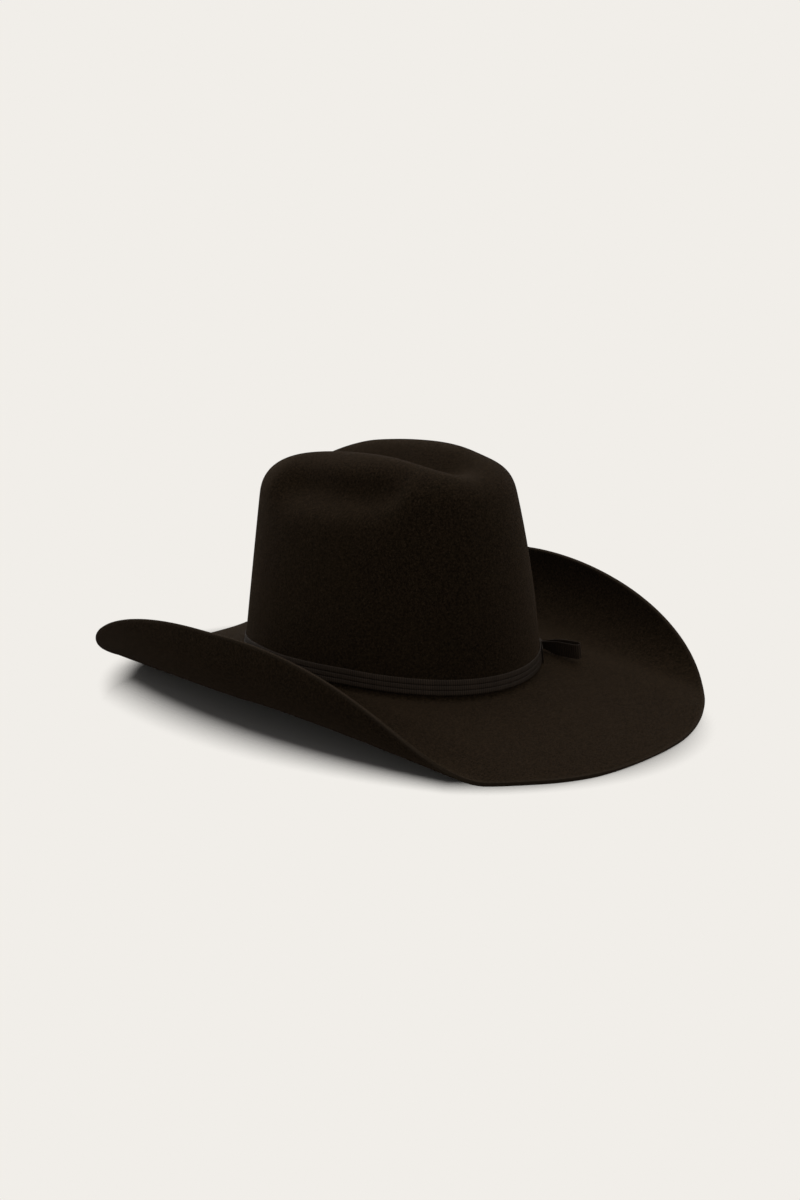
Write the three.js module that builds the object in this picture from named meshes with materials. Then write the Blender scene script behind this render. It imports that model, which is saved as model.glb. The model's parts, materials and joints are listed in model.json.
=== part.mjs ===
// A western felt hat, standing on its brim.
// Millimetres, +Z up. The wearer looks along -Y and the wearer's left hand is on +X.
// The origin is on the floor, below the middle of the head opening.
import * as THREE from "three";

// ---------- Felt ----------
const FELT = 2.6; // thickness of the felt
const HEAD_HALF_WIDTH = 88; // outside of the crown where it meets the brim, to the side
const HEAD_FRONT_LENGTH = 104; // the same, to the front
const HEAD_REAR_LENGTH = 100; // and to the rear
const CREASE_RADIUS = 3; // the rounded corner between crown and brim

// ---------- Brim, first as a flat sheet and then as it is bent ----------
const BRIM_SIDE_WIDTH = 87.6; // flat width beside the head
const BRIM_FRONT_WIDTH = 102.3; // flat width in front of the head
const BRIM_REAR_WIDTH = 104.6; // and behind it
const BRIM_SQUARENESS = 2.2; // exponent of the outline: 2 is an ellipse
const ROLL_START = 23.3; // flat width beside the head before the side rolls up
const ROLL_START_FRONT_LOSS = 10.1; // how much sooner the roll starts at the front end
const ROLL_START_REAR_LOSS = 76.4; // and at the rear end
const ROLL_RADIUS = 33.7; // radius of the roll beside the head
const ROLL_RADIUS_FRONT_LOSS = 20.3; // how much tighter it is at the front end
const ROLL_RADIUS_REAR_GAIN = 47.4; // and how much wider at the rear end
const ROLL_ANGLE = THREE.MathUtils.degToRad(101.6); // how far the roll turns
const END_DIP = 31.2; // how far the front and rear ends dip below the head opening
const FRONT_DIP_POWER = 1.46; // the front bends down early, in a long slope
const REAR_DIP_POWER = 2.3; // the rear bends down later
const SIDE_SAG = 6.8; // the low line beside the head, before the roll
const SIDE_SAG_START = 0.9; // where the sag starts, as a share of the half width of the head
const SIDE_SAG_WIDTH = 30; // distance over which it sags
const REST_FLAT = 1.2; // how far the hat's own weight bends each end flat against the floor

// ---------- Crown ----------
const CROWN_HEIGHT = 133.5; // top of the uncreased crown above the head opening
const SHOULDER_SHARE = 0.755; // share of that height where the straight wall turns into the rounded top
const TOP_ROUNDNESS = 2.67; // exponent of the rounded top
const SIDE_TAPER = 0.295; // share of the half width lost from the opening to the top
const FRONT_TAPER = 0.011; // share of the half length lost at the front, evenly
const FRONT_LEAN = 0.225; // and the share lost towards the top
const REAR_TAPER = 0.184; // share of the half length lost at the rear
const TOP_SQUARENESS = 2.25; // exponent of the plan at the top
const TOP_TILT = 0.04; // the top rises a little towards the front

// ---------- Creases pressed into the crown ----------
const CENTRE_CREASE = {
  depth: 18.1,
  halfWidth: 17.9,
  front: -43.4, // the crease is full from here
  rear: 45, // to here
  frontFade: 27.4, // and fades out over these lengths
  rearFade: 30,
  startShare: 0.6, // share of the crown's height below which it presses nothing
  fadeShare: 0.3, // share over which it grows to its full depth
};
const SIDE_DENT = {
  inwards: 12.5,
  down: 4,
  heightShare: 0.85, // its middle, as a share of the crown's height
  halfHeight: 12,
  middle: -12, // its middle along the hat
  halfLength: 46,
  abruptness: 6, // exponent with which its two ends run out
};

// ---------- Ribbon round the crown, and its bow ----------
const BAND_HEIGHT = 9.5;
const BAND_THICKNESS = 0.9;
const BAND_PLEATS = 3;
const PLEAT_STEP = 0.25; // how far each fold stands proud of the one above it
const BOW_ANGLE = THREE.MathUtils.degToRad(-46); // from the wearer's left, towards the front
const BOW_RIBBON_WIDTH = 9.5;
const BOW_RIBBON = 0.6; // thickness of one layer
const BOW_ABOVE_BRIM = 0.3; // clearance between the bow's knot and the height of the brim at the crown
const BOW_FRONT_LENGTH = 33;
const BOW_FRONT_RISE = 3; // how far the front loop's end stands above the knot, along the crown
const BOW_REAR_LENGTH = 32;
const BOW_LOOP_DEPTH = 5; // across a loop, where it is fullest
const BOW_FRONT_SPLAY = THREE.MathUtils.degToRad(40);
const BOW_REAR_SPLAY = THREE.MathUtils.degToRad(8);
const BOW_KNOT_LENGTH = 8;
const BOW_TAIL_HALF_LENGTH = 24;
const TAIL_SLANT = 0.8; // slant of the tail's cut ends, as a share of half its width
const LOOP_SWELL = 0.75; // half turns of the sine that the depth along a loop follows
const LOOP_NOSE = 0.6; // bulge of a loop's end, as a share of its half depth
const LOOP_SLIT = 0.25; // share of a loop's length where the slit inside it starts

// ---------- Inside ----------
const SWEATBAND_HEIGHT = 56;
const SWEATBAND_THICKNESS = 1.1;
const REED_RADIUS = 1;
const TAPE_THICKNESS = 0.5;
const LINING_THICKNESS = 0.5;
const LINING_BELOW_SHOULDER = 16.8; // the lining's side stops this far below the crown's shoulder
const LINING_TUCK = 14; // the lining starts this far above the opening, behind the sweatband
const LINING_HEADROOM = 20; // clearance between the lining's domed tip and the crease above it
const SHIELD_SHARE = 0.55; // the clear patch's size, as a share of the lining's tip
const SHIELD_THICKNESS = 0.35;
const LABEL_THICKNESS = 0.3;
const SIZE_LABEL = { halfWidth: 11, bottom: 18, top: 40 };
const CONTENT_LABEL = { halfWidth: 12, bottom: 16, top: 44 };
const LABEL_CLEARANCE = 4; // between the seam tape's edge and a label's edge
const BACK_TAPE_HALF_WIDTH = 11;
const TAPE_ENDS = [120, 420]; // the reed tape's two ends, in degrees round the reed
const REED_SIDES = 8;
const INNER_BOW_HEIGHT_SHARE = 0.33; // height of the inner bow on the sweatband
const INNER_BOW_FULLNESS = 2; // depth of its loops, as a multiple of its waist
const INNER_BOW_HALF_LENGTH = 13;
const INNER_BOW_RIBBON_WIDTH = 4;

const GAP = 0.35; // clearance between neighbouring pieces
const ROUND = 60; // steps round the hat
const SMALL = 1e-3; // step for numerical slopes

const SHOULDER_HEIGHT = SHOULDER_SHARE * CROWN_HEIGHT;
const LINING_TOP = SHOULDER_HEIGHT - LINING_BELOW_SHOULDER;
const CREASE_FLOOR = CROWN_HEIGHT - CENTRE_CREASE.depth - FELT; // the felt's inner face under the crease
const TIP_TOP = CREASE_FLOOR - LINING_HEADROOM; // the highest point of the lining

// ---------- Materials ----------
const finish = (color, roughness) => new THREE.MeshStandardMaterial({ color, roughness, metalness: 0 });
const feltFinish = finish(0x1d1610, 0.95);
const ribbonFinish = finish(0x26211c, 0.6);
const leatherFinish = finish(0x3a2416, 0.55);
const satinFinish = finish(0x1b1714, 0.35);
const tapeFinish = finish(0x17130f, 0.8);
const reedFinish = finish(0xd9d4c8, 0.4);
const paperFinish = finish(0xe6e1d6, 0.9);
const shieldFinish = finish(0xcfd3d6, 0.15);

// The pieces are laid out about the middle of the head opening, then raised to stand on the floor.
const hat = new THREE.Group();
const pieces = new THREE.Group();
hat.add(pieces);

function addPiece(name, geometry, material, placement) {
  const mesh = new THREE.Mesh(geometry, material);
  mesh.name = name;
  if (placement) {
    mesh.applyMatrix4(placement);
  }
  pieces.add(mesh);
}

// ---------- Surfaces ----------
const clamp01 = (value) => Math.min(Math.max(value, 0), 1);
const smooth = (value) => THREE.MathUtils.smoothstep(value, 0, 1);

// The point where the ray at an angle meets an oval, whose front and rear halves may differ.
function ovalPoint(angle, halfWidth, frontLength, rearLength, exponent) {
  const across = Math.abs(Math.cos(angle) / halfWidth) ** exponent;
  const along = Math.abs(Math.sin(angle) / (Math.sin(angle) < 0 ? frontLength : rearLength)) ** exponent;
  const radius = (across + along) ** (-1 / exponent);
  return new THREE.Vector2(radius * Math.cos(angle), radius * Math.sin(angle));
}

// The head opening, at the outside of the felt.
const headPoint = (angle) => ovalPoint(angle, HEAD_HALF_WIDTH, HEAD_FRONT_LENGTH, HEAD_REAR_LENGTH, 2);

// Bends a point of the flat brim sheet to its place: rolled up at the sides, dipping at the ends.
function bendBrim(flat) {
  const front = clamp01(-flat.y / (HEAD_FRONT_LENGTH + BRIM_FRONT_WIDTH));
  const rear = clamp01(flat.y / (HEAD_REAR_LENGTH + BRIM_REAR_WIDTH));
  const start =
    HEAD_HALF_WIDTH + ROLL_START - ROLL_START_FRONT_LOSS * front ** 2 - ROLL_START_REAR_LOSS * rear ** 2;
  const radius = ROLL_RADIUS - ROLL_RADIUS_FRONT_LOSS * front ** 2 + ROLL_RADIUS_REAR_GAIN * rear ** 2;
  const side = Math.abs(flat.x);
  const past = Math.max(side - start, 0);
  const turn = Math.min(past / radius, ROLL_ANGLE);
  const straight = Math.max(past - radius * ROLL_ANGLE, 0);
  const x = Math.min(side, start) + radius * Math.sin(turn) + straight * Math.cos(ROLL_ANGLE);
  const rolled = radius * (1 - Math.cos(turn)) + straight * Math.sin(ROLL_ANGLE);
  const lowLine = smooth((side - SIDE_SAG_START * HEAD_HALF_WIDTH) / SIDE_SAG_WIDTH);
  const sag = SIDE_SAG * lowLine * (1 - front) * (1 - rear);
  const dip = END_DIP * (front ** FRONT_DIP_POWER + rear ** REAR_DIP_POWER);
  return new THREE.Vector3(Math.sign(flat.x) * x, flat.y, rolled - sag - dip);
}

// The brim's top face: share 0 is at the head opening and share 1 at the outer edge.
function brimPoint(angle, share) {
  const width = HEAD_HALF_WIDTH + BRIM_SIDE_WIDTH;
  const front = HEAD_FRONT_LENGTH + BRIM_FRONT_WIDTH;
  const rear = HEAD_REAR_LENGTH + BRIM_REAR_WIDTH;
  return bendBrim(headPoint(angle).lerp(ovalPoint(angle, width, front, rear, BRIM_SQUARENESS), share));
}

// Presses the centre crease and the two side dents into a point of the crown.
function pressCreases(p) {
  const { depth, halfWidth, front, rear, frontFade, rearFade, startShare, fadeShare } = CENTRE_CREASE;
  const beyond = Math.max((front - p.y) / frontFade, (p.y - rear) / rearFade, 0);
  const near = smooth((p.z / CROWN_HEIGHT - startShare) / fadeShare);
  const crease = depth * near * Math.exp(-((p.x / halfWidth) ** 2) - beyond ** 2);
  const { inwards, down, heightShare, halfHeight, middle, halfLength, abruptness } = SIDE_DENT;
  const up = ((p.z - heightShare * CROWN_HEIGHT) / halfHeight) ** 2;
  const along = Math.abs((p.y - middle) / halfLength) ** abruptness;
  const dent = Math.exp(-up - along) * smooth(Math.abs(p.x) / (HEAD_HALF_WIDTH / 2));
  p.x -= Math.sign(p.x) * inwards * dent;
  p.z -= crease + down * dent;
  return p;
}

// The crown's half sizes at a share of its height, as a point of its plan.
function crownPlan(angle, height, scale) {
  const share = height / CROWN_HEIGHT;
  const halfWidth = HEAD_HALF_WIDTH * (1 - SIDE_TAPER * share);
  const frontLength = HEAD_FRONT_LENGTH * (1 - FRONT_TAPER * share - FRONT_LEAN * share ** 2);
  const rearLength = HEAD_REAR_LENGTH * (1 - REAR_TAPER * share);
  const exponent = 2 + (TOP_SQUARENESS - 2) * share;
  return ovalPoint(angle, halfWidth, frontLength, rearLength, exponent).multiplyScalar(scale);
}

function crownPoint(angle, height, scale, z) {
  const plan = crownPlan(angle, height, scale);
  const tilt = (TOP_TILT * plan.y * height) / CROWN_HEIGHT;
  return pressCreases(new THREE.Vector3(plan.x, plan.y, z - tilt));
}

// A point of the crown's straight wall, measured up from the saddle-shaped line of the opening.
function wallPoint(angle, above) {
  const base = brimPoint(angle, 0).z;
  const share = above / (SHOULDER_HEIGHT - base);
  const height = share * SHOULDER_HEIGHT;
  return crownPoint(angle, height, 1, base + above);
}

// A point of the rounded top: share 0 is the tip and share 1 the shoulder.
function topPoint(angle, share) {
  const turn = (1 - share) * (Math.PI / 2);
  const rise = Math.sin(turn) ** (2 / TOP_ROUNDNESS);
  const height = SHOULDER_HEIGHT + (CROWN_HEIGHT - SHOULDER_HEIGHT) * rise;
  return crownPoint(angle, height, Math.max(Math.cos(turn), 0) ** (2 / TOP_ROUNDNESS), height);
}

const EDGE = 4; // the felt's outer edge, in the numbering of the next function

// The felt's outer face from the tip to the brim's edge: 0-1 top, 1-2 wall, 2-3 corner, 3-4 brim.
function feltPoint(angle, s) {
  if (s < 1) {
    return topPoint(angle, s);
  }
  if (s < 2) {
    const full = SHOULDER_HEIGHT - brimPoint(angle, 0).z;
    return wallPoint(angle, THREE.MathUtils.lerp(full, CREASE_RADIUS, s - 1));
  }
  const cornerShare = CREASE_RADIUS / BRIM_SIDE_WIDTH;
  if (s < 3) {
    const upper = wallPoint(angle, CREASE_RADIUS).lerp(brimPoint(angle, 0), s - 2);
    const lower = brimPoint(angle, 0).lerp(brimPoint(angle, cornerShare), s - 2);
    return upper.lerp(lower, s - 2);
  }
  return brimPoint(angle, THREE.MathUtils.lerp(cornerShare, 1, s - 3));
}

// The unit normal of a surface given as a function of two parameters.
function surfaceNormal(surface, a, b) {
  const alongA = surface(a + SMALL, b).sub(surface(a - SMALL, b));
  const alongB = surface(a, b + SMALL).sub(surface(a, b - SMALL));
  return alongB.cross(alongA).normalize();
}

// A point off the crown's wall: positive is outwards.
function offWall(angle, above, outwards) {
  const normal = surfaceNormal(wallPoint, angle, above).negate();
  return wallPoint(angle, above).addScaledVector(normal, outwards);
}

// ---------- Solids from rows of points ----------
function solidFrom(positions, index) {
  const geometry = new THREE.BufferGeometry();
  geometry.setAttribute("position", new THREE.Float32BufferAttribute(positions, 3));
  let volume = 0;
  const corner = (i) => new THREE.Vector3().fromArray(positions, 3 * i);
  for (let i = 0; i < index.length; i += 3) {
    volume += corner(index[i]).dot(corner(index[i + 1]).cross(corner(index[i + 2])));
  }
  geometry.setIndex(volume < 0 ? index.reverse() : index);
  geometry.computeVertexNormals();
  return geometry;
}

// Joins rings of equal count. The rings close on themselves, or each end is closed by a fan.
function skin(rings, ends) {
  const count = rings[0].length;
  const points = rings.flat();
  const index = [];
  const joined = ends ? rings.length - 1 : rings.length;
  for (let i = 0; i < joined; i += 1) {
    const next = (i + 1) % rings.length;
    for (let j = 0; j < count; j += 1) {
      const k = (j + 1) % count;
      index.push(i * count + j, next * count + j, next * count + k);
      index.push(i * count + j, next * count + k, i * count + k);
    }
  }
  if (ends) {
    const last = (rings.length - 1) * count;
    points.push(ends[0], ends[1]);
    for (let j = 0; j < count; j += 1) {
      const k = (j + 1) % count;
      index.push(points.length - 2, j, k);
      index.push(points.length - 1, last + k, last + j);
    }
  }
  return solidFrom(points.flatMap((p) => p.toArray()), index);
}

const middleOf = (ring) =>
  ring.reduce((sum, p) => sum.add(p), new THREE.Vector3()).divideScalar(ring.length);

const fullTurn = (makePoint) =>
  Array.from({ length: ROUND }, (_, i) => makePoint((i * 2 * Math.PI) / ROUND));

// A closed hoop that follows the crown's wall, from a section of [height above opening, outwards].
const hoop = (section) =>
  skin(section.map(([above, outwards]) => fullTurn((angle) => offWall(angle, above, outwards))));

// A curved slab on the crown's wall between two angles, two heights and two offsets.
function slab(angles, heights, offsets, steps) {
  const rings = Array.from({ length: steps + 1 }, (_, i) => {
    const angle = THREE.MathUtils.lerp(angles[0], angles[1], i / steps);
    return [
      offWall(angle, heights[0], offsets[0]),
      offWall(angle, heights[1], offsets[0]),
      offWall(angle, heights[1], offsets[1]),
      offWall(angle, heights[0], offsets[1]),
    ];
  });
  return skin(rings, [middleOf(rings[0]), middleOf(rings[steps])]);
}

// ---------- Felt body ----------
const TOP_ROWS = [0.05, 0.12, 0.25, 0.38, 0.5, 0.6, 0.7, 0.8, 0.9];
const WALL_ROWS = [1, 1.1, 1.22, 1.45, 1.7, 2];
const CORNER_ROWS = [2.33, 2.67, 3];
const BRIM_ROWS = [3.15, 3.3, 3.45, 3.58, 3.7, 3.8, 3.9, 3.975, EDGE];

// The felt's inner face: under the brim and inside the crown.
function feltUnderside(angle, s) {
  const normal = surfaceNormal(feltPoint, angle, Math.min(s, EDGE - 2 * SMALL));
  return feltPoint(angle, s).addScaledVector(normal, -FELT);
}

// The height of the head opening above the floor, with the hat's two ends resting on it.
const OPENING_HEIGHT = -Math.min(...fullTurn((angle) => feltUnderside(angle, EDGE).z)) - REST_FLAT;

function addFelt() {
  const rows = [...TOP_ROWS, ...WALL_ROWS, ...CORNER_ROWS, ...BRIM_ROWS];
  const outer = rows.map((s) => fullTurn((angle) => feltPoint(angle, s)));
  const inner = rows.map((s) => fullTurn((angle) => feltUnderside(angle, s))).reverse();
  for (const p of inner.flat()) {
    p.z = Math.max(p.z, -OPENING_HEIGHT);
  }
  for (const p of outer.flat()) {
    p.z = Math.max(p.z, FELT - OPENING_HEIGHT);
  }
  const tip = feltPoint(0, 0);
  const innerTip = tip.clone();
  innerTip.z -= FELT;
  addPiece("felt_body", skin([...outer, ...inner], [tip, innerTip]), feltFinish);
}

// ---------- Ribbon ----------
// The ribbon round the crown lies in folds like shingles, each lower fold a little prouder.
function addHatBand() {
  const section = [[CREASE_RADIUS, GAP]];
  for (let fold = 0; fold < BAND_PLEATS; fold += 1) {
    const bottom = CREASE_RADIUS + (BAND_HEIGHT * fold) / BAND_PLEATS;
    const top = CREASE_RADIUS + (BAND_HEIGHT * (fold + 1)) / BAND_PLEATS;
    section.push([bottom + (fold ? GAP : 0), GAP + BAND_THICKNESS]);
    section.push([top, GAP + BAND_THICKNESS - PLEAT_STEP]);
  }
  section.push([CREASE_RADIUS + BAND_HEIGHT, GAP]);
  addPiece("hat_band", hoop(section), ribbonFinish);
}

// The bow's own frame on the ribbon: x towards the front along it, y outwards, z up.
function bowPlacement(angle, above, outwards) {
  const y = surfaceNormal(wallPoint, angle, above).negate();
  const x = wallPoint(angle - SMALL, above).sub(wallPoint(angle + SMALL, above)).normalize();
  const z = x.clone().cross(y).normalize();
  return new THREE.Matrix4().makeBasis(x, y, z).setPosition(offWall(angle, above, outwards));
}

// Half the depth of a flattened loop at a share of its length from the bow's middle.
function loopHalfDepth(share, waist, depth) {
  return (waist + (depth - waist) * Math.sin(share * Math.PI * LOOP_SWELL) ** 2) / 2;
}

// One side of a bow seen from above, as points from the waist round the loop's end and back.
// The loop bends outwards where it leaves the knot.
function loopOutline({ length, splay, waist, depth, knotLength, mirrored }, from, inset) {
  const shares = Array.from({ length: 9 }, (_, i) => from + ((1 - from) * i) / 8);
  const half = (share) => loopHalfDepth(share, waist, depth) - inset;
  const near = shares.map((share) => [share * (length - inset), -half(share)]);
  const far = [...shares].reverse().map((share) => [share * (length - inset), half(share)]);
  const nose = [length + half(1) * LOOP_NOSE - inset, 0];
  return [...near, nose, ...far].map(([x, y]) => {
    const outwards = y + Math.tan(splay) * Math.max(x - knotLength, 0);
    return new THREE.Vector2(mirrored ? -x : x, outwards);
  });
}

// A two-loop bow seen from above: one ribbon that leaves a slit inside each loop.
function bowShape(front, rear, layer) {
  const outline = [...loopOutline(front, 0, 0), ...loopOutline(rear, 0, 0).reverse()];
  const shape = new THREE.Shape(outline);
  for (const loop of [front, rear]) {
    shape.holes.push(new THREE.Path(loopOutline(loop, LOOP_SLIT, layer)));
  }
  return shape;
}

// Extrudes a plan upwards, centred on the middle of the ribbon's width.
function ribbonFrom(shape, width) {
  const geometry = new THREE.ExtrudeGeometry(shape, { depth: width, bevelEnabled: false });
  return geometry.translate(0, 0, -width / 2);
}

// Lifts the part of a bow that is in front of its knot, more and more towards the loop's end.
function liftFront(geometry, { length, knotLength }, rise) {
  const position = geometry.getAttribute("position");
  for (let i = 0; i < position.count; i += 1) {
    const share = Math.max(position.getX(i) - knotLength, 0) / (length - knotLength);
    position.setZ(i, position.getZ(i) + rise * share);
  }
  return geometry;
}

// The short ribbon that holds a bow's waist: a flat ring, extruded along the bow.
function knotGeometry(holeDepth, holeHeight, layer, length) {
  const ring = (depth, height) => {
    const corners = [[-depth, -height], [depth, -height], [depth, height], [-depth, height]];
    return corners.map(([x, y]) => new THREE.Vector2(x / 2, y / 2));
  };
  const shape = new THREE.Shape(ring(holeDepth + 2 * layer, holeHeight + 2 * layer));
  shape.holes.push(new THREE.Path(ring(holeDepth, holeHeight)));
  const geometry = new THREE.ExtrudeGeometry(shape, { depth: length, bevelEnabled: false });
  geometry.translate(0, 0, -length / 2);
  return geometry.applyMatrix4(
    new THREE.Matrix4().makeBasis(
      new THREE.Vector3(0, 1, 0),
      new THREE.Vector3(0, 0, 1),
      new THREE.Vector3(1, 0, 0),
    ),
  );
}

// A flat ribbon end that lies behind the bow, its ends cut to a slant.
function addBowTail(above, outwards) {
  const half = BOW_TAIL_HALF_LENGTH;
  const height = BOW_RIBBON_WIDTH / 2;
  const slant = height * TAIL_SLANT;
  const corners = [[-half - slant, -height], [half + slant, -height], [half, height], [-half, height]];
  const shape = new THREE.Shape(corners.map(([x, y]) => new THREE.Vector2(x, y)));
  const geometry = new THREE.ExtrudeGeometry(shape, { depth: BOW_RIBBON, bevelEnabled: false });
  geometry.rotateX(Math.PI / 2).translate(0, BOW_RIBBON / 2, 0);
  addPiece("bow_tail", geometry, ribbonFinish, bowPlacement(BOW_ANGLE, above, outwards));
}

function addBow() {
  const waist = 2 * BOW_RIBBON + GAP;
  const above = BOW_ABOVE_BRIM + BOW_RIBBON + GAP + BOW_RIBBON_WIDTH / 2;
  const tailAt = GAP + BAND_THICKNESS + GAP + BOW_RIBBON / 2;
  addBowTail(above, tailAt);
  const bowAt = tailAt + BOW_RIBBON / 2 + GAP + BOW_RIBBON + GAP + waist / 2;
  const loop = { waist, depth: BOW_LOOP_DEPTH, knotLength: BOW_KNOT_LENGTH };
  const front = { ...loop, length: BOW_FRONT_LENGTH, splay: BOW_FRONT_SPLAY };
  const rear = { ...loop, length: BOW_REAR_LENGTH, splay: BOW_REAR_SPLAY, mirrored: true };
  const shape = bowShape(front, rear, BOW_RIBBON);
  const placement = bowPlacement(BOW_ANGLE, above, bowAt);
  const loops = liftFront(ribbonFrom(shape, BOW_RIBBON_WIDTH), front, BOW_FRONT_RISE);
  addPiece("bow_loops", loops, ribbonFinish, placement);
  const knot = knotGeometry(waist + 2 * GAP, BOW_RIBBON_WIDTH + 2 * GAP, BOW_RIBBON, BOW_KNOT_LENGTH);
  addPiece("bow_knot", knot, ribbonFinish, placement);
}

// ---------- Sweatband, its reed and tapes ----------
// Offsets from the outside of the felt to the layers inside it, from the felt inwards.
const LINING_OUTSIDE = -FELT - GAP;
const LABEL_OUTSIDE = LINING_OUTSIDE - LINING_THICKNESS - GAP;
const SWEATBAND_OUTSIDE = LABEL_OUTSIDE - TAPE_THICKNESS - GAP;
const SWEATBAND_INSIDE = SWEATBAND_OUTSIDE - SWEATBAND_THICKNESS;
const REED_MIDDLE = (SWEATBAND_OUTSIDE + SWEATBAND_INSIDE) / 2;
const TAPE_INSIDE_RADIUS = REED_RADIUS + GAP;
const TAPE_OUTSIDE_RADIUS = TAPE_INSIDE_RADIUS + TAPE_THICKNESS;

// Points of an arc in the hoop's section, about the reed.
function reedArc(radius, from, to, steps) {
  return Array.from({ length: steps + 1 }, (_, i) => {
    const turn = THREE.MathUtils.degToRad(THREE.MathUtils.lerp(from, to, i / steps));
    return [radius * Math.sin(turn), REED_MIDDLE + radius * Math.cos(turn)];
  });
}

function addSweatband() {
  const bottom = TAPE_OUTSIDE_RADIUS + GAP;
  const band = [
    [bottom, SWEATBAND_OUTSIDE],
    [SWEATBAND_HEIGHT, SWEATBAND_OUTSIDE],
    [SWEATBAND_HEIGHT, SWEATBAND_INSIDE],
    [bottom, SWEATBAND_INSIDE],
  ];
  addPiece("sweatband", hoop(band), leatherFinish);
  const lastCorner = 360 - 360 / REED_SIDES;
  addPiece("sweatband_reed", hoop(reedArc(REED_RADIUS, 0, lastCorner, REED_SIDES - 1)), reedFinish);
  const [start, end] = TAPE_ENDS;
  const outer = reedArc(TAPE_OUTSIDE_RADIUS, start, end, REED_SIDES);
  const inner = reedArc(TAPE_INSIDE_RADIUS, end, start, REED_SIDES);
  addPiece("reed_tape", hoop([...outer, ...inner]), tapeFinish);
}

// A slab of half width along the wall, centred on an angle.
function wallSlab(name, angle, halfWidth, heights, outside, thickness, material) {
  const half = halfWidth / headPoint(angle).length();
  const offsets = [outside, outside - thickness];
  addPiece(name, slab([angle - half, angle + half], heights, offsets, 4), material);
}

const REAR = Math.PI / 2; // the angle of the hat's rear

function addLabels() {
  const bottom = TAPE_OUTSIDE_RADIUS + GAP;
  const seamTop = SWEATBAND_HEIGHT - GAP;
  wallSlab("sweatband_seam_tape", REAR, BACK_TAPE_HALF_WIDTH, [bottom, seamTop], LABEL_OUTSIDE,
    TAPE_THICKNESS, tapeFinish);
  addLabel("size_label", SIZE_LABEL, -1);
  addLabel("content_label", CONTENT_LABEL, 1);
}

// A label beside the seam tape: side -1 is on the wearer's left and side 1 on the right.
function addLabel(name, { halfWidth, bottom, top }, side) {
  const apart = (BACK_TAPE_HALF_WIDTH + LABEL_CLEARANCE + halfWidth) / HEAD_REAR_LENGTH;
  wallSlab(name, REAR + side * apart, halfWidth, [bottom, top], LABEL_OUTSIDE, LABEL_THICKNESS, paperFinish);
}

// The small flat bow that marks the rear of the sweatband.
function addInnerBow() {
  const waist = 2 * BOW_RIBBON + GAP;
  const above = SWEATBAND_HEIGHT * INNER_BOW_HEIGHT_SHARE;
  const depth = INNER_BOW_FULLNESS * waist;
  const loop = { waist, depth, splay: 0, knotLength: INNER_BOW_RIBBON_WIDTH };
  const front = { ...loop, length: INNER_BOW_HALF_LENGTH };
  const rear = { ...front, mirrored: true };
  const shape = bowShape(front, rear, BOW_RIBBON);
  // The band curves towards the bow's ends, so its middle stands off by that much more.
  const bend = HEAD_HALF_WIDTH ** 2 / HEAD_REAR_LENGTH + SWEATBAND_INSIDE;
  const standOff = INNER_BOW_HALF_LENGTH ** 2 / bend / 2 + depth / 2 + 2 * GAP;
  const placement = bowPlacement(REAR, above, SWEATBAND_INSIDE - standOff);
  const width = INNER_BOW_RIBBON_WIDTH;
  addPiece("sweatband_bow_loops", ribbonFrom(shape, width), ribbonFinish, placement);
  const knot = knotGeometry(waist + 2 * GAP, width + 2 * GAP, BOW_RIBBON, width);
  addPiece("sweatband_bow_knot", knot, ribbonFinish, placement);
}

// ---------- Lining ----------
function addLining() {
  const side = [];
  const inside = LINING_OUTSIDE - LINING_THICKNESS;
  const steps = 4;
  for (let i = 0; i <= steps; i += 1) {
    side.push([THREE.MathUtils.lerp(LINING_TUCK, LINING_TOP, i / steps), LINING_OUTSIDE]);
  }
  for (let i = steps; i >= 0; i -= 1) {
    side.push([THREE.MathUtils.lerp(LINING_TUCK, LINING_TOP, i / steps), inside]);
  }
  addPiece("lining_side", hoop(side), satinFinish);
}

// A thin domed sheet under the crown's top: its rim follows the top of the lining's side.
function tipSheet(reach, drop, thickness, rows) {
  const rimAbove = LINING_TOP + GAP + LINING_THICKNESS;
  const ring = (share, lower) =>
    fullTurn((angle) => {
      const rim = offWall(angle, rimAbove, LINING_OUTSIDE);
      const z = THREE.MathUtils.lerp(TIP_TOP, rim.z, share ** 2);
      return new THREE.Vector3(rim.x * share, rim.y * share, z - lower);
    });
  const shares = Array.from({ length: rows }, (_, i) => (reach * (i + 1)) / rows);
  const upper = shares.map((share) => ring(share, drop));
  const under = [...shares].reverse().map((share) => ring(share, drop + thickness));
  const upperTip = new THREE.Vector3(0, 0, TIP_TOP - drop);
  const underTip = new THREE.Vector3(0, 0, TIP_TOP - drop - thickness);
  return skin([...upper, ...under], [upperTip, underTip]);
}

function addLiningTip() {
  addPiece("lining_tip", tipSheet(1, 0, LINING_THICKNESS, 4), satinFinish);
  const drop = LINING_THICKNESS + GAP;
  addPiece("lining_tip_shield", tipSheet(SHIELD_SHARE, drop, SHIELD_THICKNESS, 2), shieldFinish);
}

addFelt();
addHatBand();
addBow();
addSweatband();
addLabels();
addInnerBow();
addLining();
addLiningTip();
pieces.position.z = OPENING_HEIGHT;

export default hat;
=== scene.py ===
# %% [markdown]
# # A western felt hat
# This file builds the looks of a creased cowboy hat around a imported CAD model. It is
# written as a lesson: each step says what the piece is on a real hat, how it could be
# made, and why it is made this way here. Everything is in metres, the hat stands on z = 0,
# and the wearer looks along -Y.

# %% Load the frame
import math

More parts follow.
